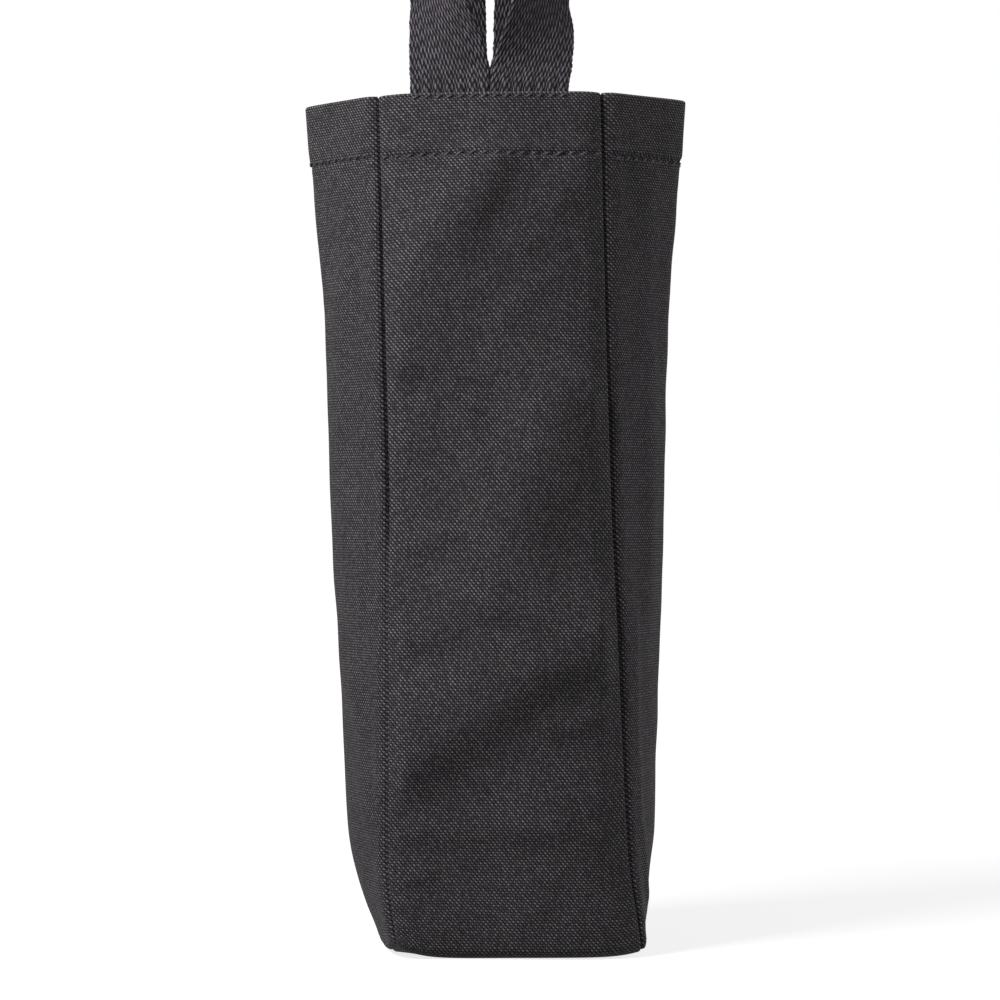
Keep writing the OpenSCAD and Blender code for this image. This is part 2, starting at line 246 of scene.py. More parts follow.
# The cloth is softer than the solids: the two legs of a handle touch at the rim, the rim
# rises a little to the right, the foot has slid a little to the right, where its corner lies
# lower, the fold at the base is sharper, and the hem's stitches sag a little
leg_centre = web_w / 2
rim_tilt, tilt_from, tilt_over, tilt_fade = 0.017, 0.6, 0.4, 0.2
foot_slide, foot_h, right_lift_less, hem_sag = 2.6 * MM, 40 * MM, 0.45, 1.3 * MM
stitch_z = rim_h - hem_stitch_drop - hem_sag
print("The hem's stitches lie", round(stitch_z / MM, 1), "mm above the floor")

# %% Curves through tables


def ease(q):
    """Rises softly from 0 to 1."""
    q = np.clip(q, 0, 1)
    return q * q * (3 - 2 * q)


def unit(v):
    return v / np.maximum(np.linalg.norm(v, axis=-1, keepdims=True), 1e-12)


def smooth(table, x):
    """A soft curve through a table of (place, value) pairs, level past its ends."""
    places, values = np.array(table, float).T
    number = np.arange(len(places))
    before, after = np.maximum(number - 1, 0), np.minimum(number + 1, len(places) - 1)
    slopes = (values[after] - values[before]) / (places[after] - places[before])
    i = np.clip(np.searchsorted(places, x, side="right") - 1, 0, len(places) - 2)
    h = places[i + 1] - places[i]
    q = np.clip((x - places[i]) / h, 0, 1)
    return (values[i] * (1 + 2 * q) * (1 - q) ** 2 + slopes[i] * h * q * (1 - q) ** 2
            + values[i + 1] * q * q * (3 - 2 * q) + slopes[i + 1] * h * q * q * (q - 1))


# %% The bag's shape before it is turned and leant
half_width_share = [(0, 1), (0.05, 0.995), (0.15, 0.97), (0.29, 0.945), (0.41, 0.927),
                    (0.55, 0.907), (1, 0.907)]
crease_out_share = [(0, 0), (0.025, 0.075), (0.05, 0.15), (0.085, 0.225), (0.14, 0.3),
                    (0.23, 0.345), (0.35, 0.4), (0.5, 0.475), (0.65, 0.508), (0.77, 0.54),
                    (0.85, 0.59), (1, 0.665)]
crown_share = [(0, 0), (0.06, 0.15), (0.15, 0.5), (0.4, 1), (0.75, 1), (1, 0.85)]
crease_power_share = [(0, 2), (0.15, 1.7), (0.5, 1.35), (1, 1.15)]
crease_round_share = [(0, 0.3), (0.3, 0.15), (1, 0.08)]
turn_share = [(0, 1), (0.15, 0.67), (0.5, 0.33), (0.76, 0.1), (1, 0)]
lean_share = [(0, 1), (0.15, 0.77), (0.35, 0.53), (0.5, 0.3), (1, 0)]
slip_share = [(0, 0), (0.5, 0), (0.76, 0.48), (1, 1)]


def half_width(z):
    return panel_w / 2 * smooth(half_width_share, z / rim_h)


def crease_out(z):
    return gusset_w / 2 * smooth(crease_out_share, z / rim_h)


def half_depth(z):
    return np.sqrt((gusset_w / 2) ** 2 - crease_out(z) ** 2)


def bow_out(z):
    return crown * smooth(crown_share, z / rim_h)


def panel_y(x, z):
    return -half_depth(z) - bow_out(z) * (1 - (x / half_width(z)) ** 2)


def profile_half(z, inset):
    """Half depth of the side profile, drawn in by an inset, with its round lower corners."""
    r = max(base_fold_r - inset, tight_r)
    rise = z - base_z - inset
    drawn_in = r - np.sqrt(np.maximum(r * r - (r - rise) ** 2, 0))
    return half_depth(z) - inset - np.where(rise < r, drawn_in, 0)


def crease_shape(v, z):
    p = smooth(crease_power_share, z / rim_h) / 2
    s = smooth(crease_round_share, z / rim_h) ** 2
    return ((1 + s) ** p - (v * v + s) ** p) / ((1 + s) ** p - s ** p)


def gusset_at(y, z):
    """A point on the right gusset's middle surface."""
    x = half_width(z) + crease_out(z) * crease_shape(y / profile_half(z, 0), z)
    return np.stack(np.broadcast_arrays(x, y, z), axis=-1)


def seam_angle(z):
    """The angle at which a gusset leaves its seam, from straight back."""
    return np.arctan(smooth(crease_power_share, z / rim_h) * crease_out(z) / half_depth(z))


def seam_pinch(z):
    """How far an edge that turns in at a seam moves aside for each millimetre that it turns in,
    so that the two edges of the seam go in side by side and leave a narrow groove."""
    return np.tan((math.pi / 2 - seam_angle(z)) / 2)


def gusset_inward(y, z):
    """The direction from the right gusset into the bag."""
    probe = canvas_t / 8
    along = gusset_at(y + probe, z) - gusset_at(y - probe, z)
    up = gusset_at(y, z + probe) - gusset_at(y, z - probe)
    return unit(np.cross(up, along))


def set_down(p, side=1):
    """Turns, leans and slips points as the standing bag does; side -1 is the opposite side."""
    x, y, z = side * p[..., 0], side * p[..., 1], p[..., 2]
    t = z / rim_h
    a = base_turn * smooth(turn_share, t)
    over = (np.abs(x) - half_width(z)) / np.maximum(crease_out(z), canvas_t / 8)
    slip = panel_slip * smooth(slip_share, t) * (1 - np.clip(over, 0, 1))
    to_side = np.minimum(np.abs(x) / (panel_w / 2), 1) ** side_power
    to_front = np.minimum(np.abs(y) / (gusset_w / 2 - base_fold_r), 1) ** front_power
    lift = (corner_lift * (1 - right_lift_less * np.sign(x)) * to_side * to_front
            * (1 - np.clip(z / lift_h, 0, 1)) ** 2)
    slide = foot_slide * (1 - ease(z / foot_h))
    tilt = rim_tilt * x * ease((t - tilt_from) / tilt_over) * (1 - ease((t - 1) / tilt_fade))
    lean = base_lean * smooth(lean_share, t)
    return np.stack([x * np.cos(a) - y * np.sin(a) + lean - slip + slide,
                     x * np.sin(a) + y * np.cos(a), z + lift + tilt], axis=-1)


foot = set_down(np.array([panel_w / 2, -gusset_w / 2, 0]))
print("The front's lower right corner stands at", [round(v / MM, 1) for v in foot], "mm")

# %% [markdown]
# Cloth is made as a grid of points on its middle surface. cloth_piece() gives the grid its
# thickness and closes it all round, and keeps a UV map named "cloth" that holds the distance
# along the two yarn directions in metres, so that the weave follows the cut of the cloth.

# %% From a grid to a cloth with two faces


def grid_normals(grid):
    return unit(np.cross(np.gradient(grid, axis=0), np.gradient(grid, axis=1)))


def shell_faces(n, m):
    """Faces of a closed shell over an n by m grid of outer points, then as many inner ones."""
    i = np.arange(n * m).reshape(n, m)
    far = i + n * m

    def quads(*corners):
        return np.stack([c.ravel() for c in corners], axis=1)
    return np.concatenate([
        quads(i[:-1, :-1], i[1:, :-1], i[1:, 1:], i[:-1, 1:]),
        quads(far[:-1, :-1], far[:-1, 1:], far[1:, 1:], far[1:, :-1]),
        quads(i[:-1, 0], far[:-1, 0], far[1:, 0], i[1:, 0]),
        quads(i[1:, -1], far[1:, -1], far[:-1, -1], i[:-1, -1]),
        quads(i[0, 1:], far[0, 1:], far[0, :-1], i[0, :-1]),
        quads(i[-1, :-1], far[-1, :-1], far[-1, 1:], i[-1, 1:])])


def mesh_object(name, points, faces, uv=None, marks=None):
    """A smooth-shaded mesh object at the origin, with an optional UV map and point marks."""
    mesh = bpy.data.meshes.new(name)
    mesh.from_pydata(np.asarray(points).reshape(-1, 3).tolist(), [], np.asarray(faces).tolist())
    if uv is not None:
        corner = np.zeros(len(mesh.loops), int)
        mesh.loops.foreach_get("vertex_index", corner)
        layer = mesh.uv_layers.new(name="cloth")
        layer.data.foreach_set("uv", uv.reshape(-1, 2)[corner].astype(np.float32).ravel())
    for title, values in (marks or {}).items():
        layer = mesh.attributes.new(title, "FLOAT", "POINT")
        layer.data.foreach_set("value", np.asarray(values, np.float32).ravel())
    mesh.polygons.foreach_set("use_smooth", [True] * len(mesh.polygons))
    made = bpy.data.objects.new(name, mesh)
    bpy.context.scene.collection.objects.link(made)
    return made


def cloth_piece(name, grid, thickness, uv, worn, relief=None):
    """A cloth with two faces from its middle grid. Relief stands out from both faces."""
    n, m = grid.shape[:2]
    side = grid_normals(grid) * (thickness / 2 + (0 if relief is None else relief[..., None]))
    points = np.concatenate([(grid + side).reshape(-1, 3), (grid - side).reshape(-1, 3)])
    twice = np.concatenate([uv.reshape(-1, 2)] * 2)
    marks = {"worn": np.concatenate([worn.ravel()] * 2)}
    made = mesh_object(name, points, shell_faces(n, m), twice, marks)
    print(name, "has", len(made.data.polygons), "faces")
    return made


# %% [markdown]
# Soft folds are what makes the panels look like cloth that has carried a bottle. Each fold is
# a crest drawn as a short line on the panel, with a height and a width on either side,
# so that one flank can be steep and the other gentle. Their sum moves the cloth outwards. The
# unevenness that every cloth has is a sum of waves with a fixed seed.

# %% Folds and unevenness


def fold_height(x, z, crest, height, before, after, fade):
    """A fold along a crest of (x, z) points in mm. Before is its width on the left of the
    direction in which the crest is drawn, after is its width on the right, and fade is how
    far it runs out past its two ends."""
    crest = np.array(crest, float) * MM
    best = np.full(np.shape(x), np.inf)
    value = np.zeros(np.shape(x))
    last = len(crest) - 2
    for number, (start, end) in enumerate(zip(crest[:-1], crest[1:])):
        run = end - start
        length = np.hypot(*run)
        dx, dz = x - start[0], z - start[1]
        q = (dx * run[0] + dz * run[1]) / length ** 2
        aside = (run[0] * dz - run[1] * dx) / length
        width = np.where(aside > 0, before, after)
        short, past = np.maximum(-q, 0) * length, np.maximum(q - 1, 0) * length
        here = np.exp(-(aside / width) ** 2 - (short / (width if number else fade)) ** 2
                      - (past / (width if number < last else fade)) ** 2)
        distance = np.hypot(aside, short + past)
        value = np.where(distance < best, here, value)
        best = np.minimum(best, distance)
    return height * value


def unevenness(x, z, size, seed, waves=24):
    """Gentle waves of about one size in all directions, about -1 to 1."""
    random = np.random.default_rng(seed)
    total = np.zeros(np.broadcast(x, z).shape)
    for _ in range(waves):
        angle, phase, stretch = random.uniform(0, 2 * math.pi, 3)
        k = 2 * math.pi / (size * (0.7 + 0.1 * stretch))
        total = total + np.cos(k * (x * math.cos(angle) + z * math.sin(angle)) + phase)
    return total / math.sqrt(waves * 2)


# Crests in mm as (across, height), then the height and the widths on either side
front_folds = [
    ([(-4, 326), (-10, 312), (-21, 300), (-29, 287), (-35, 271), (-38, 255), (-38, 242)],
     5.4, 19, 14, 10),
    ([(-42, 324), (-37, 319)], -1.0, 2.2, 2.2, 2.5),
    ([(2, 321), (-3, 309), (-8, 300)], 1.1, 4.5, 7, 4),
    ([(36, 320), (25, 303), (10, 287)], 1.8, 10, 10, 6),
    ([(24, 274), (14, 268), (4, 258)], 0.8, 5, 6, 6),
    ([(-37, 219), (-26, 221), (-18, 226)], 1.0, 10, 14, 6),
    ([(40, 236), (30, 235), (20, 237)], 0.5, 3, 3, 4),
    ([(34, 226), (20, 206), (9, 188), (3, 168), (-1, 145)], 5.4, 23, 19, 10),
    ([(-10, 222), (-9, 210), (-6, 199)], 1.3, 3.5, 7, 4),
    ([(-38, 166), (-28, 168), (-17, 172)], 1.2, 5, 5, 5),
    ([(-38, 128), (-28, 130), (-18, 134)], 2.0, 12, 7, 6),
    ([(44, 134), (36, 131)], 1.0, 5, 5, 4),
    ([(43, 124), (32, 123), (18, 119), (2, 107), (-26, 88), (-40, 79)], 6.8, 14, 25, 8),
    ([(-34, 98), (-22, 104), (-12, 112)], 1.2, 10, 10, 6),
    ([(42, 98), (32, 94), (22, 93)], 1.4, 5, 7, 4),
    ([(42, 62), (28, 58), (12, 54)], 1.6, 7, 15, 6),
    ([(42, 50), (0, 51), (-38, 50)], 0.9, 6, 6, 6),
    ([(-28, 52), (-38, 50)], 1.0, 4, 4, 4),
    ([(-28, 34), (-38, 32)], 1.2, 5, 6, 4),
    ([(18, 22), (12, 16), (8, 10)], 1.1, 4, 6, 4)]


def folds(table, x, z):
    """The sum of a table's folds: crest, height, width before, width after, fade, all in mm."""
    return sum(fold_height(x, z, crest, h * MM, a * MM, b * MM, fade * MM)
               for crest, h, a, b, fade in table)


print("Folds on the front:", len(front_folds))

# %% [markdown]
# The strip is one length of canvas: it starts at the raw edge inside the front hem, goes over
# the rim, down the front, under the base, up the back and over the rear rim. Its two long edges
# roll inwards into the seams. A row of the grid holds its height, how deep the hem puts it, and
# the half depth of the bag there.

# %% Rows and columns of the strip
row_step, column_step, base_row_step = 1.5 * MM, 1.7 * MM, 2.4 * MM
fold_turns = np.linspace(0, math.pi, 11)
corner_turns = np.linspace(0, math.pi / 2, 10)
roll_r, beside_roll = 1.5 * MM, np.array([0, 0.4, 0.9, 1.6, 2.4]) * MM
roll_turns = np.radians([90, 78, 66, 54, 42, 30, 18, 8])
run = half_depth(straight_z) - base_fold_r
dense_below = 3 * MM


def spread(start, end, step):
    """Evenly spaced values from start to end, about one step apart."""
    return np.linspace(start, end, max(int(round(abs(end - start) / step)), 1) + 1)


def wall_rows(end):
    """Heights of a wall's rows, from under the rim down to an end, twice as dense round the
    hem's stitches as below them."""
    dense_end = stitch_z - dense_below
    dense = spread(rim_z, dense_end, row_step / 2)[1:]
    return np.concatenate([dense, spread(dense_end, end, row_step)[1:]])


# The rows inside a hem and over the rim's fold, and how much of the hem's depth each row has
hem_z = spread(hem_low, rim_z, row_step)[:-1]
fold_z = rim_z + hem_fold_r * np.sin(fold_turns)
hem_share = np.concatenate([hem_z * 0 + 1, (1 + np.cos(fold_turns)) / 2])


def strip_half():
    """Rows of the front half: height, share of the hem's depth, half depth, angle of outwards."""
    corner_z = base_z + base_fold_r * (1 - np.sin(corner_turns[1:]))
    corner_half = half_depth(straight_z) - base_fold_r * (1 - np.cos(corner_turns[1:]))
    upper_z = np.concatenate([hem_z, fold_z, wall_rows(straight_z)])
    z = np.concatenate([upper_z, corner_z])
    share = np.concatenate([hem_share, np.zeros(len(z) - len(hem_share))])
    half = np.concatenate([half_depth(upper_z), corner_half])
    return z, share, half, np.concatenate([upper_z * 0, corner_turns[1:]])


# Distances of the columns from the edge, dense where the edge rolls
near_far = np.concatenate([roll_r * (1 - np.sin(roll_turns)), roll_r + beside_roll])
cloth_half = panel_w / 2 - seam_gap
edge_far = np.concatenate([near_far, spread(near_far[-1] + column_step, cloth_half, column_step)])
edge_far_share = edge_far / cloth_half
print("Columns across the strip:", 2 * len(edge_far) - 1)

# %% [markdown]
# Where thread pulls the cloth down, the cloth dips where the thread goes in between two
# stitches. The hem stands out a little over its double cloth, and the edges roll into the seams,
# deeper on the left than on the right.

# %% Grooves, dips and puckers
groove_share = {"left": [(0, 0.45), (60, 0.4), (155, 0.35), (190, 1.6), (300, 1.4), (335, 0.6)],
                "right": [(0, 0.55), (350, 0.55)]}
edge_calm = 3 * MM
pucker_size, pucker_length, pucker_waves = 6 * MM, 0.35, 14
hem_dip, hem_dip_width, hem_pucker, hem_pucker_reach = 1.5 * MM, 1.1 * MM, 0.22 * MM, 7 * MM
hem_ledge, ledge_below, ledge_rise = 0.9 * MM, 4.5 * MM, 7 * MM
rim_dip, rim_dip_width, rim_row_half, rim_row_fade = 1.5 * MM, 1 * MM, 32 * MM, 3 * MM


def hill(off, width):
    """1 on a line, and a soft fall to 0 on either side of it."""
    return np.exp(-(off / width) ** 2)


def roll_drop(s, z, left):
    """How far the rolled edge has turned inwards at a distance s from the left or right seam."""
    inside = np.clip(roll_r - s, 0, roll_r)
    on_left, on_right = [smooth(groove_share[side], z / MM) for side in ("left", "right")]
    return np.where(left, on_left, on_right) * (roll_r - np.sqrt(roll_r ** 2 - inside ** 2))


def stitch_dips(along, off, pitch, depth, width):
    """A row of dents, deepest where the thread goes in between two stitches."""
    beat = 0.55 + 0.45 * np.cos(2 * math.pi * along / pitch)
    return -depth * beat * hill(off, width)


def puckers(along, off, height, reach, seed):
    """Small uneven swellings that run out from a line of stitches."""
    waves = unevenness(along, off * pucker_length, pucker_size, seed, pucker_waves)
    return height * waves * hill(off, reach)


def hem_relief(along, z, edge_s, seed):
    """Dents and puckers of the hem stitches on any wall, which fade out at the seams."""
    off = z - stitch_z
    dents = stitch_dips(along, off, hem_stitch_pitch, hem_dip, hem_dip_width)
    uneven = puckers(along, off, hem_pucker, hem_pucker_reach, seed)
    ledge = hem_ledge * ease((off + ledge_below) / ledge_rise)
    return (dents + uneven + ledge) * ease(edge_s / edge_calm)


def rim_relief(along, z):
    """The dents of the stitches under the rim, across the two straps."""
    in_row = 1 - ease((np.abs(along) - rim_row_half) / rim_row_fade)
    off = z - rim_h + rim_stitch_drop
    return in_row * stitch_dips(along, off, rim_stitch_pitch, rim_dip, rim_dip_width)


# %% The panels' outward relief
left_drop_mm = [(0, 0.8), (120, 1.0), (180, 1.8), (250, 3.0), (300, 5.0), (350, 5.5)]
left_reach_mm = [(0, 6), (180, 6), (250, 8), (300, 15), (350, 15)]
right_drop_mm = [(0, 8), (60, 7.5), (140, 5.6), (250, 4.4), (350, 3.6)]
right_reach_mm = [(0, 17), (60, 15), (140, 11), (250, 8.5), (350, 7.5)]
back_drop, back_reach, sides_blend = 3 * MM, 8 * MM, 0.7
more_crown = 1.5 * MM
foot_puff_share, foot_puff_h = 0.85, 16 * MM
hem_stiffness, stiff_below, stiff_rise = 0.8, 5 * MM, 14 * MM
calm_h, calm_rise = 6 * MM, 16 * MM
wave_size, ripple, ripple_size = 34 * MM, 0.07 * MM, 13 * MM
pull_height, pull_reach = 0.1 * MM, 3.5 * MM


def rounded(s, reach):
    """Rises from 0 to 1 over the reach, steeply at first, as a rounded edge does."""
    return 1 - (1 - np.clip(s / reach, 0, 1)) ** 2


def at_height(table_mm, z):
    """A size from a table of (height, size) pairs in mm."""
    return smooth(table_mm, z / MM) * MM


def hem_calm(z):
    """The share of the folds that is left: the doubled cloth of the hem is too stiff for them."""
    return 1 - hem_stiffness * ease((z - stitch_z + stiff_below) / stiff_rise)


def edge_puff(side, z, u):
    """How far a panel stands out past its seams, and how far in from them it takes to do so."""
    if side == -1:
        return back_drop, back_reach
    left, right = at_height(left_drop_mm, z), at_height(right_drop_mm, z)
    reach = np.where(u < 0, at_height(left_reach_mm, z), at_height(right_reach_mm, z))
    return left + (right - left) * ease((u + sides_blend) / (2 * sides_blend)), reach


def panel_relief(side, x, z, u):
    """How far a panel stands out of its plain form, at set-down places x and z. Side is 1 for
    the front and -1 for the back."""
    table, fold_fade, waviness, seed = panel_looks[side]
    edge_s = (1 - np.abs(u)) * half_width(z)
    drop, reach = edge_puff(side, z, u)
    grown = foot_puff_share + (1 - foot_puff_share) * ease(z / foot_puff_h)
    puff = (drop * rounded(edge_s, reach) + more_crown * (1 - u * u)) * grown
    low_hem = hem_calm(z)
    soft = folds(table, x, z) * ease(edge_s / fold_fade) * low_hem
    small = (waviness * unevenness(x, z, wave_size, seed + 1)
             + ripple * unevenness(x, z, ripple_size, seed + 2))
    pull = puckers(z, edge_s, pull_height, pull_reach, seed + 3)
    fine = (small * low_hem + pull) * ease(edge_s / edge_calm)
    across = u * half_width(z)
    return (puff + ease((z - calm_h) / calm_rise) * (soft + fine)
            + hem_relief(across, z, edge_s, seed + 4) + rim_relief(across, z))


# The photograph doesn't show the back, so it has quiet folds of the same kind
back_folds = [
    ([(18, 322), (24, 290), (26, 262)], 1.4, 8, 10, 10),
    ([(-22, 312), (-30, 284), (-28, 250)], 1.5, 9, 7, 10),
    ([(30, 232), (8, 212), (-20, 202)], 1.9, 9, 11, 10),
    ([(-14, 182), (-4, 152), (2, 120)], 1.8, 11, 9, 12),
    ([(34, 150), (26, 120), (24, 96)], 1.2, 8, 8, 8),
    ([(-36, 112), (-12, 92), (12, 84)], 2.0, 8, 10, 10),
    ([(-30, 54), (0, 50), (30, 56)], 0.9, 6, 6, 8)]

# For each side its folds, how far from the seams they fade, how uneven it is, and its seed
panel_looks = {1: (front_folds, 7 * MM, 0.22 * MM, 10), -1: (back_folds, 9 * MM, 0.3 * MM, 20)}
print("Folds on the back:", len(back_folds))

# %% The strip
rim_rub, seam_rub, seam_rub_share = 1.2 * MM, 1.3 * MM, 0.5


def travel(points):
    """How far along a line of points each of them lies."""
    return np.concatenate([[0], np.cumsum(np.linalg.norm(np.diff(points, axis=0), axis=1))])


def rubbed_places(grid, edge_s):
    """How rubbed the cloth is: most along the rim, and half as much along the seams."""
    return np.maximum(hill(grid[..., 2] - rim_h, rim_rub), seam_rub_share * hill(edge_s, seam_rub))


def strip_grid():
    """The strip's middle surface, its UV and how worn each point is."""
    z, share, half, tip = strip_half()
    flat = spread(-run, run, base_row_step)[1:-1]
    u = np.concatenate([edge_far_share - 1, (1 - edge_far_share[:-1])[::-1]])
    sets = []
    for side in (1, -1):
        rows_z = z[:, None]
        x0 = u * (half_width(rows_z) - seam_gap)
        pocket = 1 - ease((np.abs(x0) - web_w - leg_gap)
                          / (half_width(rim_h) - seam_gap - web_w - leg_gap))
        low = np.minimum(rows_z, rim_z)
        depth = share[:, None] * (hem_pitch + pocket_depth * pocket
                                  * ease((rim_z - low) / (raw_end_drop - hem_fold_r)))
        edge_s = (1 - np.abs(u)) * (half_width(rows_z) - seam_gap)
        drop = roll_drop(edge_s, rows_z, u * side < 0)
        pinch = np.sign(u) * seam_pinch(rows_z) * drop
        x = x0 - u * miter_share * np.minimum(depth, hem_pitch) - pinch
        bow = bow_out(rows_z) * (1 - (x0 / half_width(rows_z)) ** 2)
        plain = np.stack([x, -half[:, None] - bow + depth, np.broadcast_to(rows_z, x.shape)], -1)
        placed = set_down(plain, side)
        # Seen from its own side, the back's left edge is the front's right edge
        relief = panel_relief(side, placed[..., 0] * side, low, np.broadcast_to(u, x.shape))
        level, down = np.cos(tip)[:, None], np.sin(tip)[:, None]
        out = relief * np.sqrt(level) - drop * level
        a = base_turn * smooth(turn_share, rows_z / rim_h)
        moved = np.stack([side * np.sin(a) * out, -side * np.cos(a) * out, drop * down], -1)
        sets.append(placed + moved)
    edge_s = (1 - np.abs(u)) * (half_width(base_z) - seam_gap)
    drop = roll_drop(edge_s, base_z, u < 0)
    flat_x = u * (half_width(base_z) - seam_gap) - np.sign(u) * seam_pinch(base_z) * drop
    base = set_down(np.stack(np.broadcast_arrays(flat_x, flat[:, None], base_z), -1))
    base[..., 2] += drop
    grid = np.concatenate([sets[0], base, sets[1][::-1, ::-1]])
    along = travel(grid[:, len(u) // 2])
    across = u * half_width(np.concatenate([z, 0 * flat + base_z, z[::-1]]))[:, None]
    uv = np.stack(np.broadcast_arrays(across, along[:, None]), -1)
    return grid, uv, rubbed_places(grid, (1 - np.abs(u)) * panel_w / 2)


strip_points, strip_uv, strip_worn = strip_grid()
canvas_strip = cloth_piece("canvas_strip", strip_points, canvas_t, strip_uv, strip_worn)

# %% [markdown]
# Each gusset is one more length of canvas with a crease down its middle. It is drawn for the
# right side in its own frame, and the left one is the same cloth turned half round with other
# folds. Its border follows the seam down the front, along the base and up the back.

# %% The gussets' relief
left_gusset_folds = [
    ([(20, 344), (20, 318), (22, 296)], 0.9, 9, 9, 8),
    ([(24, 300), (18, 262), (17, 226)], 1.2, 6, 9, 10),
    ([(14, 205), (20, 170), (24, 140)], 0.9, 8, 8, 10),
    ([(30, 250), (31, 200), (31, 140)], 0.5, 4, 5, 14),
    ([(8, 313), (22, 316), (34, 312)], 0.35, 3, 3, 5),
    ([(6, 268), (20, 270), (34, 266)], 0.35, 3, 2.5, 5),
    ([(18, 110), (28, 84), (34, 60)], 1.0, 8, 7, 8),
    ([(-22, 320), (-24, 280), (-20, 240)], 1.2, 9, 9, 10),
    ([(-24, 190), (-18, 150), (-24, 110)], 1.1, 8, 8, 10)]
right_gusset_folds = [
    ([(-20, 330), (-19, 290), (-21, 250)], 0.7, 6, 7, 10),
    ([(-17, 240), (-18, 200), (-20, 150)], 0.9, 6, 6, 12),
    ([(-36, 130), (-38, 97), (-38, 55), (-31, 25)], 1.5, 3.5, 3.5, 10),
    ([(-10, 300), (-24, 296), (-34, 300)], 0.3, 3, 3, 5),
    ([(20, 324), (22, 280), (19, 240)], 1.1, 9, 9, 10),
    ([(26, 180), (20, 140), (26, 100)], 1.0, 8, 8, 10)]
gusset_calm_s, gusset_calm_rise = 1 * MM, 14 * MM
gusset_puff, puff_rise, puff_fall = 3 * MM, 2.2 * MM, 10 * MM
gusset_waviness, gusset_wave_size = 0.2 * MM, 30 * MM
gusset_pull, gusset_pull_size, gusset_pull_reach = 0.26 * MM, 5.5 * MM, 5 * MM
print("Folds on the gussets:", len(left_gusset_folds), "and", len(right_gusset_folds))


def gusset_relief(y, z, s, across, table, seed):
    """How far a gusset stands out at half-depth place y, height z, distance s from its seam and
    distance across from its crease."""
    low_hem = hem_calm(z)
    calm = ease((s - gusset_calm_s) / gusset_calm_rise)
    puff = gusset_puff * (1 - np.exp(-s / puff_rise)) * np.exp(-s / puff_fall)
    soft = folds(table, y, z) * low_hem
    small = gusset_waviness * unevenness(y, z, gusset_wave_size, seed) * low_hem
    waves = unevenness(y * 0.4, z, gusset_pull_size, seed + 1, 16)
    pull = gusset_pull * waves * hill(s, gusset_pull_reach) * ease(s / edge_calm)
    return calm * (soft + small) + puff + pull + hem_relief(across, z, s, seed + 2)


# %% The gussets
gusset_inner_share = np.concatenate([np.linspace(1, 0.08, 25)[1:], [0.055, 0.035, 0.018, 0]])
crease_rub, crease_rub_share, crease_rub_from, crease_rub_over = 1.5 * MM, 0.6, 0.35, 0.3
middle_columns = slice(8, 20)


def gusset_grid(side, table, seed):
    """A gusset's middle surface, its UV and how worn each point is."""
    wall_z = wall_rows(base_z + seam_gap + roll_r + beside_roll[-1])[:-1]
    foot_z = np.sort(base_z + seam_gap + np.unique(np.round(near_far, 7)))[::-1]
    z = np.concatenate([hem_z, fold_z, wall_z, foot_z])
    depth = np.concatenate([hem_share, np.zeros(len(z) - len(hem_share))]) * hem_pitch
    half = np.stack([profile_half(q, seam_gap + miter_share * d) for q, d in zip(z, depth)])
    right = np.concatenate([half[:, None] - near_far,
                            (half[:, None] - near_far[-1]) * gusset_inner_share], axis=1)
    y = np.concatenate([-right, right[:, -2::-1]], axis=1)
    zz = np.broadcast_to(z[:, None], y.shape)
    inward = gusset_inward(y, zz)
    corner_y, corner_z = half_depth(straight_z) - base_fold_r, base_z + base_fold_r
    in_corner = (np.abs(y) > corner_y) & (zz < corner_z)
    arc_s = base_fold_r - np.hypot(np.abs(y) - corner_y, corner_z - zz)
    wall_s = np.minimum(half_depth(zz) - np.abs(y), zz - base_z)
    s = np.maximum(np.where(in_corner, arc_s, wall_s) - seam_gap, 0)
    low = np.minimum(zz, rim_z)
    drop = roll_drop(s, zz, side < 0)
    steps = np.linalg.norm(np.diff(gusset_at(y, zz), axis=1), axis=2)
    across = np.concatenate([np.zeros((len(z), 1)), np.cumsum(steps, axis=1)], axis=1)
    across = across - across[:, [y.shape[1] // 2]]
    relief = gusset_relief(y, low, s, across, table, seed) - drop
    pinch = seam_pinch(zz) * drop
    near_wall = half_depth(zz) - np.abs(y) < zz - base_z
    share_y = np.where(in_corner, (np.abs(y) - corner_y) / (base_fold_r - arc_s), near_wall)
    share_z = np.where(in_corner, (corner_z - zz) / (base_fold_r - arc_s), ~near_wall)
    back = np.sign(y) * share_y * pinch * np.cos(seam_angle(zz))
    pinched = gusset_at(y - back, zz + share_z * pinch)
    plain = pinched + inward * (depth[:, None, None] - relief[..., None])
    grid = set_down(plain, side)
    rows = np.linalg.norm(np.diff(grid, axis=0), axis=2)[:, middle_columns].mean(axis=1)
    along = np.broadcast_to(np.concatenate([[0], np.cumsum(rows)])[:, None], across.shape)
    upper = ease((zz - crease_rub_from * rim_h) / (crease_rub_over * rim_h))
    worn = np.maximum(rubbed_places(grid, s), crease_rub_share * hill(across, crease_rub) * upper)
    return grid, np.stack([across, along], -1), worn


gusset_sets = {"left": gusset_grid(-1, left_gusset_folds, 31),
               "right": gusset_grid(1, right_gusset_folds, 41)}
gussets = {name: cloth_piece("canvas_gusset_" + name, points, canvas_t, uv, worn)
           for name, (points, uv, worn) in gusset_sets.items()}

# %% [markdown]
# Inside, the raw edges of strip and gusset lie together on the gusset, two layers of canvas
# thick, and an overlocked bead of thread holds their fibres. The edge waves a little.

# %% The turned-in edges
edge_step = 2 * MM
edge_wave, edge_wave_size, edge_rise = 0.5 * MM, 24 * MM, 0.25 * MM


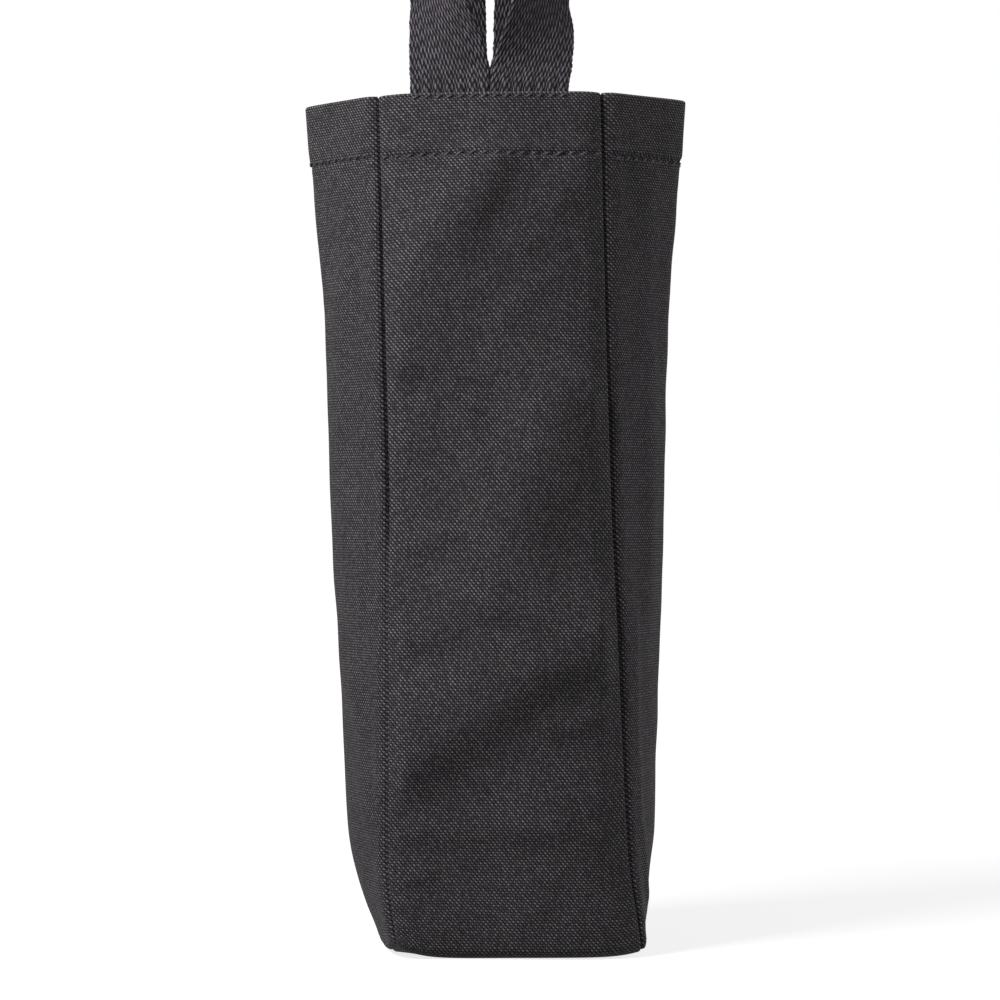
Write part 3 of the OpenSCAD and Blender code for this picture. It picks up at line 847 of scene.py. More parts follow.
def side_profile(inset, top):
    """The y and z of points down the front, round the base and up the back."""
    r = max(base_fold_r - inset, tight_r)
    walls_z = spread(top, straight_z, edge_step)
    turns = np.linspace(0, math.pi / 2, 8)[1:]
    front_y = np.concatenate([-half_depth(walls_z) + inset,
                              -half_depth(straight_z) + inset + r * (1 - np.cos(turns))])
    front_z = np.concatenate([walls_z, base_z + inset + r * (1 - np.sin(turns))])
    base_y = spread(-run, run, edge_step)[1:-1]
    return (np.concatenate([front_y, base_y, -front_y[::-1]]),
            np.concatenate([front_z, base_y * 0 + base_z + inset, front_z[::-1]]))


def seam_edge_piece(name, side, seed):
    """The two layers of canvas along one seam, and the grid of their middle surface."""
    lays = np.linspace(0, 1, 7)
    profiles = [side_profile(seam_gap + edge_gap + allowance_w * q, hem_low - web_t) for q in lays]
    y, z = [np.stack([p[k] for p in profiles], axis=1) for k in (0, 1)]
    number = np.arange(len(y))[:, None] * edge_step
    wave = edge_wave * unevenness(number, 0 * number, edge_wave_size, seed, 10) * lays ** 2
    lifted = edge_seat + (edge_rise + wave) * lays ** 2
    plain = gusset_at(y, z) + gusset_inward(y, z) * lifted[..., None]
    grid = set_down(plain, side)
    uv = np.stack(np.broadcast_arrays(lays * allowance_w, number), -1)
    return cloth_piece(name, grid, allowance_t, uv, np.broadcast_to(lays ** 4, y.shape)), grid


seam_edges = {}
edge_grids = {}
for name, side, seed in (("left", -1, 51), ("right", 1, 52)):
    seam_edges[name], edge_grids[name] = seam_edge_piece("seam_edge_cloth_" + name, side, seed)

# %% [markdown]
# The webbing is woven lengthwise: every yarn floats over the crosswise picks in long dashes, and
# the dashes of neighbouring yarns are staggered. They are real bumps in the mesh, because they
# show at the edges of the straps as well as on their faces. One length of webbing makes a whole
# handle, from its raw end in the hem's pocket, round the hem's edge, over the loop and back.

# %% The weave of the webbing
yarn_pitch, float_pitch = 0.77 * MM, 5.2 * MM
dash_half_width, dash_half_length, dash_height = 0.42 * MM, 2.0 * MM, 0.34 * MM
dash_slant, slant_reach, dash_shift, dash_turn = 0.065, 30 * MM, 0.4 * MM, 8.68
sway, sway_s, sway_a = 0.1 * MM, 1.1 * MM, 2.3 * MM
web_row_step = 0.9 * MM
edge_round = 0.9 * MM

web_inner = np.arange(-20, 21) * yarn_pitch
web_columns = np.unique(np.round(np.concatenate([
    web_inner, web_inner[:-1] + yarn_pitch / 2,
    *[sign * (web_w / 2 - np.array([0.45, 0.28, 0.14, 0.05, 0.0]) * MM) for sign in (-1, 1)]]), 7))
print("Columns across the webbing:", len(web_columns))


def dash_relief(across, along):
    """The height of the floating yarns at places across and along the webbing, along from the
    handle's middle, on either side of which the floats lean outwards and up. Each yarn's floats
    are shifted by a wave of the square of its number, which never repeats."""
    total = np.zeros(np.broadcast(across, along).shape)
    lean = dash_slant * np.tanh(along / slant_reach)
    across = across + sway * np.sin(along / sway_s + across / sway_a)
    for shift in (0, 0.5):
        a = across / (2 * yarn_pitch) - shift
        number = np.round(a)
        da = (a - number) * 2 * yarn_pitch
        s = (along + dash_shift * np.sin((number + shift) ** 2 * dash_turn)) / float_pitch - shift
        ds = (s - np.round(s)) * float_pitch
        da = da - lean * ds
        inside = 1 - (da / dash_half_width) ** 2 - (ds / dash_half_length) ** 2
        total = np.maximum(total, np.sqrt(np.maximum(inside, 0)))
    return dash_height * total


# %% The course of a handle
front_spread_share = [(0, 0), (0.1, 0.1), (0.2, 0.45), (0.33, 1.15), (0.6, 1.15), (1, 1)]
back_spread_share = [(0, 0), (0.17, 0), (0.215, 0.28), (0.26, 0.36), (0.34, 0.4), (0.44, 0.5),
                     (0.6, 0.85), (1, 1)]
front_twist_share = [(0, 0), (0.1, 0.06), (0.32, 0.47), (0.6, 0.83), (0.85, 0.98), (1, 1)]
back_twist_share = [(0, 0), (0.15, 0.02), (0.32, 0.06), (0.44, 0.12), (0.6, 0.45), (0.85, 0.93),
                    (1, 1)]
inward_share = [(0, 0), (0.1, 0.03), (0.35, 0.3), (0.7, 0.75), (1, 1)]
front_right_ahead, ahead_from_share = 0.09, 0.08
pocket_step, leg_rows, bow_rows = 0.5 * MM, 230, 90
relief_fade, edge_thin = 14 * MM, 0.93
scallop, scallop_inset, scallop_reach, scallop_size = 0.42 * MM, 0.1 * MM, 1.6 * MM, 7 * MM


def pocket_end(leg, e):
    """Rows of one end of a handle, from the raw end in the pocket up to the rim."""
    x = leg * leg_centre + e * web_w / 2
    down_z = spread(rim_h - raw_end_drop, hem_low, pocket_step)[:, None]
    turn = np.linspace(0, math.pi, 14)[1:-1, None]
    up_z = spread(hem_low, rim_z, pocket_step)[:, None]
    taper = ease((rim_z - up_z) / (raw_end_drop - hem_fold_r))
    parts = [(down_z, web_seat + 0 * x),
             (hem_low - web_seat * np.sin(turn), web_seat * (2 - np.cos(turn))),
             (up_z, hem_pitch + pocket_depth * taper + web_seat)]
    rows = []
    for z, d in parts:
        z, d = np.broadcast_arrays(z, d + 0 * x)
        rows.append(np.stack([np.broadcast_to(x, z.shape), panel_y(x, z) + d, z], -1))
    return np.concatenate(rows)


def loop_rows(e, spread_share, twist_share, right_ahead):
    """Rows of the loop, from the rim up the left leg, round the bow and down the right leg,
    which spreads a little ahead of the left one."""
    leg_h = handle_rise - bow_r
    y_rim = panel_y(0, rim_z) + hem_pitch + web_seat
    y_bow = -(web_w + bow_gap) / 2
    s = np.linspace(0, 1, leg_rows)[1:, None]
    z = rim_z + (rim_h + leg_h - rim_z) * s
    a = math.pi / 2 * smooth(twist_share, s)
    y = y_rim + (y_bow - y_rim) * smooth(inward_share, s)
    w = e * web_w / 2
    legs = []
    for leg, ahead in ((1, 0), (-1, right_ahead)):
        place = s + ahead * (1 - s) * ease(s / ahead_from_share)
        c = leg_centre + (bow_r - leg_centre) * smooth(spread_share, place)
        x = -leg * (c - w * np.cos(a))
        flat = (1 - ease(4 * s)) * bow_out(rim_z) * (x / half_width(rim_z)) ** 2
        legs.append(np.stack(np.broadcast_arrays(x, y - w * np.sin(a) + flat, z), -1))
    b = np.linspace(math.pi, 0, bow_rows)[1:-1, None]
    bow = np.stack(np.broadcast_arrays(bow_r * np.cos(b), y_bow - w + 0 * b,
                                       rim_h + leg_h + bow_r * np.sin(b)), -1)
    return np.concatenate([legs[0], bow, legs[1][::-1]])


def read_at(at, steps, values):
    """Rows of three values, read at distances along a line."""
    return np.stack([np.interp(at, steps, values[:, k]) for k in range(3)], -1)


def handle_piece(name, side, spread_share, twist_share, right_ahead):
    """A whole handle: its course is laid out, follows the panel near the rim, and gets even
    rows, scalloped edges and the relief of its weave."""
    e = web_columns / (web_w / 2)
    rows = np.concatenate([pocket_end(-1, e), loop_rows(e, spread_share, twist_share, right_ahead),
                           pocket_end(1, -e)[::-1]])
    placed = set_down(rows, side)
    a = base_turn * smooth(turn_share, rows[..., 2] / rim_h)
    low = np.minimum(rows[..., 2], rim_z)
    u = np.clip(rows[..., 0] / half_width(low), -1, 1)
    relief = panel_relief(side, placed[..., 0] * side, low, u)
    relief = relief * (1 - ease((rows[..., 2] - rim_z) / relief_fade))
    placed = placed + relief[..., None] * side * np.stack([np.sin(a), -np.cos(a), 0 * a], -1)
    length = travel(placed[:, placed.shape[1] // 2])
    along = np.arange(int(length[-1] / web_row_step) + 1) * web_row_step
    grid = np.stack([read_at(along, length, placed[:, j]) for j in range(len(e))], axis=1)
    outward_edge = unit(np.gradient(grid, axis=1))
    uneven = 0.7 + 0.5 * unevenness(along, 0 * along, scallop_size, 61 + side, 12)
    waves = (scallop * uneven * np.abs(np.cos(math.pi * along / (float_pitch / 2))))[:, None]
    near_edge = ease((np.abs(web_columns) - web_w / 2 + scallop_reach) / scallop_reach)
    grid = grid + outward_edge * ((waves - scallop_inset)
                                  * (np.sign(web_columns) * near_edge))[..., None]
    past = np.clip((np.abs(web_columns) - (web_w / 2 - edge_round)) / edge_round, 0, 1)
    roundness = np.sqrt(1 - edge_thin * past ** 2)
    body_t = web_t - 2 * dash_height
    from_middle = (along - length[-1] / 2)[:, None]
    relief = dash_relief(web_columns, from_middle) * roundness - (1 - roundness) * body_t / 2
    uv = np.stack(np.broadcast_arrays(web_columns, from_middle), -1)
    worn = np.broadcast_to(past, relief.shape)
    made = cloth_piece(name, grid, body_t, uv, worn, relief)
    print(name, "is cut", round(length[-1] / MM), "mm long")
    return made


handle_front = handle_piece("webbing_front", 1, front_spread_share, front_twist_share,
                            front_right_ahead)
handle_back = handle_piece("webbing_back", -1, back_spread_share, back_twist_share, 0)

# %% [markdown]
# Stitches repeat, so Geometry Nodes lay them: a mesh that holds only points, each with the
# direction of its row and the direction out of the cloth, gets one small twisted length of
# thread on every point. The tree has named inputs, so one tree makes every seam of the bag.

# %% The tree that lays stitches


def fields(tree, name):
    return put(tree, "GeometryNodeInputNamedAttribute", name, data_type="FLOAT_VECTOR").outputs[0]


def stitch_tree():
    tree = bpy.data.node_groups.new("lay_stitches", "GeometryNodeTree")
    new = tree.interface.new_socket
    new("Geometry", in_out="INPUT", socket_type="NodeSocketGeometry")
    for title, default in (("Stitch Length", 2.6 * MM), ("Thread Diameter", 0.4 * MM),
                           ("Rise", 0.3 * MM), ("Slant", 0.1), ("Unevenness", 0.08)):
        new(title, in_out="INPUT", socket_type="NodeSocketFloat").default_value = default
    new("Seed", in_out="INPUT", socket_type="NodeSocketInt")
    new("Thread", in_out="INPUT", socket_type="NodeSocketMaterial")
    new("Geometry", in_out="OUTPUT", socket_type="NodeSocketGeometry")
    given = put(tree, "NodeGroupInput").outputs
    m = maths(tree)
    half = m("MULTIPLY", given["Stitch Length"], 0.5)
    sunk = m("MULTIPLY", given["Thread Diameter"], -0.9)
    start, end = xyz(tree, m("MULTIPLY", half, -1.0), 0.0, sunk), xyz(tree, half, 0.0, sunk)
    peak = xyz(tree, 0.0, 0.0, m("MULTIPLY", given["Rise"], 2.0))
    arc = put(tree, "GeometryNodeCurveQuadraticBezier", 8, start, peak, end).outputs[0]
    place = put(tree, "GeometryNodeSplineParameter").outputs["Factor"]
    twisted = put(tree, "GeometryNodeSetCurveTilt", arc, None, m("MULTIPLY", place, 7.0)).outputs[0]
    ring = put(tree, "GeometryNodeCurvePrimitiveCircle", 7, mode="RADIUS")
    give(tree, ring.inputs, Radius=1.0)
    radius = m("MULTIPLY", given["Thread Diameter"], 0.5)
    profile = put(tree, "GeometryNodeTransform", ring.outputs[0])
    give(tree, profile.inputs, Scale=xyz(tree, radius, m("MULTIPLY", radius, 0.68), 1.0))
    stitch = put(tree, "GeometryNodeCurveToMesh", twisted, profile.outputs[0])
    give(tree, stitch.inputs, Fill_Caps=True)
    facing = put(tree, "FunctionNodeAxesToRotation", fields(tree, "outward"), fields(tree, "along"),
                 primary_axis="Z", secondary_axis="X").outputs[0]
    chance = put(tree, "FunctionNodeRandomValue", None, None,
                 m("MULTIPLY", given["Unevenness"], -1.0), given["Unevenness"], data_type="FLOAT")
    give(tree, chance.inputs, Seed=given["Seed"])
    lean = m("ADD", given["Slant"], chance.outputs[1])
    turn = put(tree, "FunctionNodeEulerToRotation", xyz(tree, 0.0, 0.0, lean)).outputs[0]
    turned = put(tree, "FunctionNodeRotateRotation", facing, turn, rotation_space="LOCAL").outputs[0]
    laid = put(tree, "GeometryNodeInstanceOnPoints", given["Geometry"], None, stitch.outputs[0])
    size = m("ADD", 1.0, chance.outputs[1])
    give(tree, laid.inputs, Rotation=turned, Scale=xyz(tree, size, size, 1.0))
    real = put(tree, "GeometryNodeRealizeInstances", laid.outputs[0])
    soft = put(tree, "GeometryNodeSetShadeSmooth", real.outputs[0])
    dressed = put(tree, "GeometryNodeSetMaterial", soft.outputs[0])
    give(tree, dressed.inputs, Material=given["Thread"])
    put(tree, "NodeGroupOutput", dressed.outputs[0])
    return tree


stitches_tree = stitch_tree()
print("The tree that lays stitches takes", len(stitches_tree.nodes), "nodes")


def stitched(name, points, along, outward, material, **values):
    """Lays stitches on points and turns the result into a plain mesh object."""
    guide = mesh_object(name + "_guide", points, np.zeros((0, 4), int))
    for title, vectors in (("along", along), ("outward", outward)):
        layer = guide.data.attributes.new(title, "FLOAT_VECTOR", "POINT")
        layer.data.foreach_set("vector", np.asarray(vectors, np.float32).ravel())
    modifier = guide.modifiers.new("stitches", "NODES")
    modifier.node_group = stitches_tree
    sockets = {item.name: item.identifier for item in stitches_tree.interface.items_tree
               if item.in_out == "INPUT"}
    for title, value in {**values, "Thread": material}.items():
        modifier[sockets[title.replace("_", " ")]] = value
    depsgraph = bpy.context.evaluated_depsgraph_get()
    mesh = bpy.data.meshes.new_from_object(guide.evaluated_get(depsgraph))
    made = bpy.data.objects.new(name, mesh)
    bpy.context.scene.collection.objects.link(made)
    bpy.data.objects.remove(guide)
    print(name, "has", len(points), "stitches and", len(mesh.polygons), "faces")
    return made


# %% [markdown]
# The canvas is a plain weave of thick yarns, 0.87 mm apart across the cloth and 1.08 mm apart
# along it. The yarns are finer than a bump map can follow from the camera's distance, so the
# group works out the slope of every yarn itself and gives it out as a normal in the cloth's own
# directions. Each yarn is twisted, so its crown leans to one side, and the leaning crowns line
# up in the faint diagonals that such a cloth shows. The group also gives the crowns as a mask,
# on which the canvas paints a highlight and outside of which it paints shade into the gaps, and
# a tint that differs from yarn to yarn.

# %% The weave groups


def noise(tree, place, scale, detail, dimensions="3D"):
    made = put(tree, "ShaderNodeTexNoise", noise_dimensions=dimensions)
    give(tree, made.inputs, Vector=place, Scale=scale, Detail=detail)
    return made.outputs


def chance_at(tree, place, dimensions):
    """A random number from 0 to 1 for each place."""
    return put(tree, "ShaderNodeTexWhiteNoise", place, noise_dimensions=dimensions).outputs["Value"]


def weave_normal(tree, slope_u, slope_v):
    """A tangent-space normal, as a colour, from two slopes."""
    m = maths(tree)
    raw = xyz(tree, m("MULTIPLY", slope_u, -1.0), m("MULTIPLY", slope_v, -1.0), 1.0)
    straight = put(tree, "ShaderNodeVectorMath", raw, operation="NORMALIZE").outputs[0]
    return put(tree, "ShaderNodeVectorMath", straight, (0.5, 0.5, 0.5), (0.5, 0.5, 0.5),
               operation="MULTIPLY_ADD").outputs[0]


def plain_weave():
    tree, given, result = new_group(
        "plain_weave",
        [("Cloth", VECTOR, None), ("Warp Pitch", FLOAT, 0.867 * MM),
         ("Weft Pitch", FLOAT, 1.075 * MM), ("Relief", FLOAT, 0.3), ("Slub", FLOAT, 0.35),
         ("Weft Share", FLOAT, 0.3), ("Seed", FLOAT, 0.0)],
        [("Crown", FLOAT), ("Tint", FLOAT), ("Normal", COLOUR)])
    m = maths(tree)
    cloth = put(tree, "ShaderNodeSeparateXYZ", given["Cloth"]).outputs
    wander = noise(tree, given["Cloth"], 170.0, 2.0, "2D")["Color"]
    wandered = put(tree, "ShaderNodeSeparateXYZ", wander).outputs
    u = m("MULTIPLY_ADD", m("SUBTRACT", wandered[0], 0.5), given["Slub"],
          m("DIVIDE", cloth[0], given["Warp Pitch"]))
    v = m("MULTIPLY_ADD", m("SUBTRACT", wandered[1], 0.5), given["Slub"],
          m("DIVIDE", cloth[1], given["Weft Pitch"]))
    column, row = m("FLOOR", u), m("FLOOR", v)
    fu, fv = m("SUBTRACT", m("SUBTRACT", u, column), 0.5), m("SUBTRACT", m("SUBTRACT", v, row), 0.5)
    odd = m("FLOORED_MODULO", m("ADD", column, row), 2.0)
    sign = m("MULTIPLY_ADD", odd, -2.0, 1.0)
    bend, swell, yarn_half, weft_lower = 0.34, 0.5, 0.56, 0.08
    warp_lean, weft_lean = -0.55, 0.3
    crown_low, crown_high, number_step, strand_stretch = 0.42, 0.84, 0.731, 0.045
    cell_share = 0.47

    def yarn(aside, ahead, turn, lean):
        """Height of a yarn and its slopes aside and ahead; turn is 1 where it passes over, and
        lean is how far its crown goes aside for each step ahead."""
        off = m("MULTIPLY_ADD", ahead, lean, aside)
        share = m("DIVIDE", off, yarn_half)
        body = m("SQRT", m("MAXIMUM", m("SUBTRACT", 1.0, m("MULTIPLY", share, share)), 0.05))
        wave = m("MULTIPLY", m("COSINE", m("MULTIPLY", ahead, math.pi)), turn)
        height = m("MULTIPLY_ADD", wave, bend, m("MULTIPLY", body, swell))
        slope_aside = m("DIVIDE", m("MULTIPLY", off, -swell / yarn_half ** 2), body)
        dive = m("MULTIPLY", m("MULTIPLY", m("SINE", m("MULTIPLY", ahead, math.pi)), turn),
                 -bend * math.pi)
        return height, slope_aside, m("MULTIPLY_ADD", slope_aside, lean, dive)

    warp_h, warp_u, warp_v = yarn(fu, fv, sign, warp_lean)
    weft_h, weft_v, weft_u = yarn(fv, fu, m("MULTIPLY", sign, -1.0), weft_lean)
    weft_h = m("SUBTRACT", weft_h, weft_lower)
    warp_on_top = m("GREATER_THAN", warp_h, weft_h)

    def chosen(a, b):
        return m("MULTIPLY_ADD", warp_on_top, m("SUBTRACT", a, b), b)

    slope_u = m("MULTIPLY", chosen(warp_u, weft_u), given["Relief"])
    slope_v = m("MULTIPLY", chosen(warp_v, weft_v), given["Relief"])
    height = m("MAXIMUM", warp_h, weft_h)
    # The crown mask carries painted light: the canvas paints its highlight on the crowns, weaker on
    # the weft, and painted shade into the gaps outside them.
    top = ramp(tree, height, crown_low, crown_high, interpolation_type="SMOOTHSTEP")
    crown = m("MULTIPLY", top, chosen(1.0, given["Weft Share"]))
    warp_number, weft_number = [m("ADD", m("MULTIPLY", number, number_step), given["Seed"])
                                for number in (column, row)]
    length_wise = xyz(tree, warp_number, m("MULTIPLY", v, strand_stretch), 0.0)
    cross_wise = xyz(tree, m("MULTIPLY", u, strand_stretch), weft_number, 5.0)
    strands = [noise(tree, place, 3.0, 1.0)["Fac"] for place in (length_wise, cross_wise)]
    cell = chance_at(tree, xyz(tree, column, row, 0.0), "2D")
    tint = m("MULTIPLY_ADD", cell, cell_share, m("MULTIPLY", chosen(*strands), 1 - cell_share))
    give(tree, result, Crown=crown, Tint=tint, Normal=weave_normal(tree, slope_u, slope_v))
    return tree


weave_group = plain_weave()
print("The plain weave takes", len(weave_group.nodes), "nodes")

# %% [markdown]
# Lint and rubbing are shared too: sparse pale specks of fibre that sit on the cloth, and a
# mottle that lightens it unevenly by a few percent.

# %% The lint group


def lint():
    tree, given, result = new_group(
        "lint_and_mottle",
        [("Place", VECTOR, None), ("Speck Size", FLOAT, 9 * MM), ("Rarity", FLOAT, 0.06)],
        [("Speck", FLOAT), ("Mottle", FLOAT)])
    m = maths(tree)
    cells = put(tree, "ShaderNodeTexVoronoi", distance="EUCLIDEAN", feature="F1")
    give(tree, cells.inputs, Vector=given["Place"], Scale=m("DIVIDE", 1.0, given["Speck Size"]))
    picked = m("LESS_THAN", put(tree, "ShaderNodeSeparateXYZ", cells.outputs["Color"]).outputs[0],
               given["Rarity"])
    near = ramp(tree, cells.outputs["Distance"], 0.06, 0.015)
    mottle = noise(tree, given["Place"], 45.0, 4.0)["Fac"]
    give(tree, result, Speck=m("MULTIPLY", picked, near), Mottle=mottle)
    return tree


lint_group = lint()
print("The lint takes", len(lint_group.nodes), "nodes")

# %% Shader helpers


def group_node(tree, group, **values):
    node = put(tree, "ShaderNodeGroup", node_tree=group)
    give(tree, node.inputs, **values)
    return node.outputs


def mixed(tree, share, a, b):
    """A mix of two colours, each a socket or three numbers."""
    node = put(tree, "ShaderNodeMix", data_type="RGBA")
    for place, value in ((0, share), (6, a), (7, b)):
        fill(tree, node.inputs[place], (*value, 1) if isinstance(value, tuple) else value)
    return node.outputs[2]


def bumped(tree, height, distance, strength=1.0):
    bump = put(tree, "ShaderNodeBump")
    give(tree, bump.inputs, Height=height, Distance=distance, Strength=strength)
    return bump.outputs[0]


def fabric(name, roughness, gloss):
    """A new material with its shader, for a fabric of this roughness and gloss."""
    made = bpy.data.materials.new(name)
    made.use_nodes = True
    shader = made.node_tree.nodes["Principled BSDF"].inputs
    give(made.node_tree, shader, Roughness=roughness, Specular_IOR_Level=gloss)
    return made, made.node_tree, shader


# %% [markdown]
# The black of the canvas is a dark, slightly violet grey whose tone differs from yarn to yarn.
# Its colour holds painted light as well: a painted highlight on the crowns of the yarns and
# near-black painted shade in the gaps between them. Where the cloth is folded sharply it is
# rubbed paler.

# %% Canvas


def canvas(name, gap_painted_shade, dark, light, worn_colour, seed):
    made, tree, shader = fabric(name, 0.8, 0.12)
    m = maths(tree)
    uv = put(tree, "ShaderNodeUVMap", uv_map="cloth").outputs[0]
    place = put(tree, "ShaderNodeTexCoord").outputs["Object"]
    weave = group_node(tree, weave_group, Cloth=uv, Seed=seed)
    flecks = group_node(tree, lint_group, Place=place)
    worn = put(tree, "ShaderNodeAttribute", attribute_name="worn").outputs["Fac"]
    yarn = mixed(tree, ramp(tree, weave["Tint"], 0.25, 0.75), dark, light)
    rubbed = mixed(tree, m("MULTIPLY", worn, 0.55), yarn, worn_colour)
    # Painted light: the yarn's colour shows on the crowns as a painted highlight, and the gaps get
    # the near-black gap colour as painted shade.
    woven_painted_light = mixed(tree, weave["Crown"], gap_painted_shade, rubbed)
    levelled = put(tree, "ShaderNodeVectorMath", woven_painted_light, operation="SCALE")
    give(tree, levelled.inputs, Scale=ramp(tree, flecks["Mottle"], 0.3, 0.7, 0.9, 1.1))
    colour = mixed(tree, flecks["Speck"], levelled.outputs[0], (0.2, 0.19, 0.17))
    facing = put(tree, "ShaderNodeNormalMap", 1.0, weave["Normal"], uv_map="cloth").outputs[0]
    give(tree, shader, Base_Color=colour, Normal=facing,
         Roughness=ramp(tree, weave["Crown"], 0.0, 1.0, 0.95, 0.65))
    return made


# The gap colours are near-black painted shade between the yarns.
black_canvas = canvas("black_canvas", gap_painted_shade=(0.0075, 0.0066, 0.0075), dark=(0.062, 0.0568, 0.062),
                      light=(0.178, 0.1625, 0.175), worn_colour=(0.18, 0.165, 0.178), seed=3.7)
raw_canvas = canvas("raw_edge_canvas", gap_painted_shade=(0.0075, 0.0065, 0.0075), dark=(0.055, 0.05, 0.056),
                    light=(0.12, 0.11, 0.12), worn_colour=(0.2, 0.185, 0.2), seed=7.3)

# %% [markdown]
# The webbing's dashes are bumps in its mesh already. Its shader repeats their lattice for the
# colour: a lilac grey that is a painted highlight towards the middle of each dash, and almost
# black painted shade on the flanks and between the dashes. It adds the slanted ply of the yarn.

# %% Webbing
ply_slant, ply_pitch = 2.2, 1.1 * MM


def warp_floats():
    tree, given, result = new_group(
        "warp_floats", [("Cloth", VECTOR, None), ("Yarn Pitch", FLOAT, yarn_pitch),
                        ("Float Pitch", FLOAT, float_pitch)],
        [("Crown", FLOAT), ("Tint", FLOAT), ("Ply", FLOAT)])
    m = maths(tree)
    cloth = put(tree, "ShaderNodeSeparateXYZ", given["Cloth"]).outputs
    lean = m("MULTIPLY", m("TANH", m("DIVIDE", cloth[1], slant_reach)), dash_slant)
    far_a = m("DIVIDE", cloth[0], sway_a)
    swaying = m("SINE", m("ADD", m("DIVIDE", cloth[1], sway_s), far_a))
    across = m("MULTIPLY_ADD", swaying, sway, cloth[0])
    pair_pitch = m("MULTIPLY", given["Yarn Pitch"], 2.0)
    crowns, numbers = [], []
    for shift in (0.0, 0.5):
        a = m("SUBTRACT", m("DIVIDE", across, pair_pitch), shift)
        na = m("ROUND", a)
        place = m("ADD", na, shift)
        jump = m("SINE", m("MULTIPLY", m("MULTIPLY", place, place), dash_turn))
        ahead = m("MULTIPLY_ADD", jump, dash_shift, cloth[1])
        s = m("SUBTRACT", m("DIVIDE", ahead, given["Float Pitch"]), shift)
        ns = m("ROUND", s)
        ds = m("MULTIPLY", m("SUBTRACT", s, ns), given["Float Pitch"])
        da = m("SUBTRACT", m("MULTIPLY", m("SUBTRACT", a, na), pair_pitch), m("MULTIPLY", ds, lean))
        qa, qs = m("DIVIDE", da, dash_half_width), m("DIVIDE", ds, dash_half_length)
        inside = m("SUBTRACT", 1.0, m("MULTIPLY_ADD", qa, qa, m("MULTIPLY", qs, qs)))
        crowns.append(m("SQRT", m("MAXIMUM", inside, 0.0)))
        numbers.append(chance_at(tree, xyz(tree, na, ns, shift), "3D"))
    second = m("GREATER_THAN", crowns[1], crowns[0])
    tint = m("MULTIPLY_ADD", second, m("SUBTRACT", numbers[1], numbers[0]), numbers[0])
    slant = m("MULTIPLY_ADD", cloth[0], ply_slant, cloth[1])
    ply = m("SINE", m("MULTIPLY", slant, 2 * math.pi / ply_pitch))
    give(tree, result, Crown=m("MAXIMUM", crowns[0], crowns[1]), Tint=tint, Ply=ply)
    return tree


def webbing():
    made, tree, shader = fabric("lilac_webbing", 0.75, 0.12)
    m = maths(tree)
    uv = put(tree, "ShaderNodeUVMap", uv_map="cloth").outputs[0]
    place = put(tree, "ShaderNodeTexCoord").outputs["Object"]
    floats = group_node(tree, floats_group, Cloth=uv)
    flecks = group_node(tree, lint_group, Place=place, Rarity=0.03)
    tint = m("MULTIPLY_ADD", floats["Ply"], 0.12, m("MULTIPLY_ADD", floats["Tint"], 0.6, 0.2))
    yarn = mixed(tree, tint, (0.057, 0.049, 0.059), (0.196, 0.17, 0.203))
    # Painted light: the lilac shows towards the middle of each dash as a painted highlight, and the
    # flanks and gaps get near-black painted shade.
    crown = ramp(tree, floats["Crown"], 0.45, 1.0)
    woven_painted_light = mixed(tree, crown, (0.0045, 0.0039, 0.0047), yarn)
    colour = mixed(tree, flecks["Speck"], woven_painted_light, (0.22, 0.2, 0.2))
    give(tree, shader, Base_Color=colour, Normal=bumped(tree, floats["Ply"], 0.06 * MM, 0.6))
    return made


floats_group = warp_floats()
lilac_webbing = webbing()
print("The webbing's weave takes", len(floats_group.nodes), "nodes")

# %% [markdown]
# The thread is a dull black cotton, a little paler than the gaps of the canvas, so that its
# stitches show as small knots of light in a dark line.

# %% Thread


def thread(name, colour_low, colour_high):
    made, tree, shader = fabric(name, 0.7, 0.3)
    place = put(tree, "ShaderNodeTexCoord").outputs["Object"]
    twist = noise(tree, place, 1400.0, 2.0)["Fac"]
    colour = mixed(tree, ramp(tree, twist, 0.35, 0.65), colour_low, colour_high)
    give(tree, shader, Base_Color=colour, Normal=bumped(tree, twist, 0.03 * MM))
    return made


black_thread = thread("black_thread", (0.028, 0.026, 0.03), (0.09, 0.084, 0.094))

for material, pieces in ((black_canvas, [canvas_strip, *gussets.values()]),
                         (raw_canvas, [*seam_edges.values()]),
                         (lilac_webbing, [handle_front, handle_back])):
    for piece in pieces:
        piece.data.materials.append(material)
    print(material.name, "is on", len(pieces), "pieces")

# %% [markdown]
# Every stitch needs a place on the cloth. sample() reads a point of a cloth's grid between its
# rows and columns, so a row of stitches is a row number and a list of column numbers.

# %% Places on the cloth


def sample(values, i, j):
    """Values of a grid at rows i and columns j, which may be fractions."""
    i, j = np.broadcast_arrays(np.asarray(i, float), np.asarray(j, float))
    i0 = np.clip(np.floor(i).astype(int), 0, values.shape[0] - 2)
    j0 = np.clip(np.floor(j).astype(int), 0, values.shape[1] - 2)
    a, b = (i - i0)[..., None], (j - j0)[..., None]
    return ((values[i0, j0] * (1 - a) + values[i0 + 1, j0] * a) * (1 - b)
            + (values[i0, j0 + 1] * (1 - a) + values[i0 + 1, j0 + 1] * a) * b)


def row_at(grid, z, first, last):
    """The row number, between two rows, at which the grid's middle column reaches a height."""
    rows = np.arange(first, last)
    heights = grid[rows, grid.shape[1] // 2, 2]
    order = np.argsort(heights)
    return np.interp(z, heights[order], rows[order])


def on_cloth(grid, i, j):
    """Places on the cloth's outer face, with their directions along the stitches and outwards."""
    out = unit(sample(grid_normals(grid), i, j))
    ahead = unit(sample(np.gradient(grid, axis=1), i, j))
    return sample(grid, i, j) + out * (canvas_t / 2), ahead, out


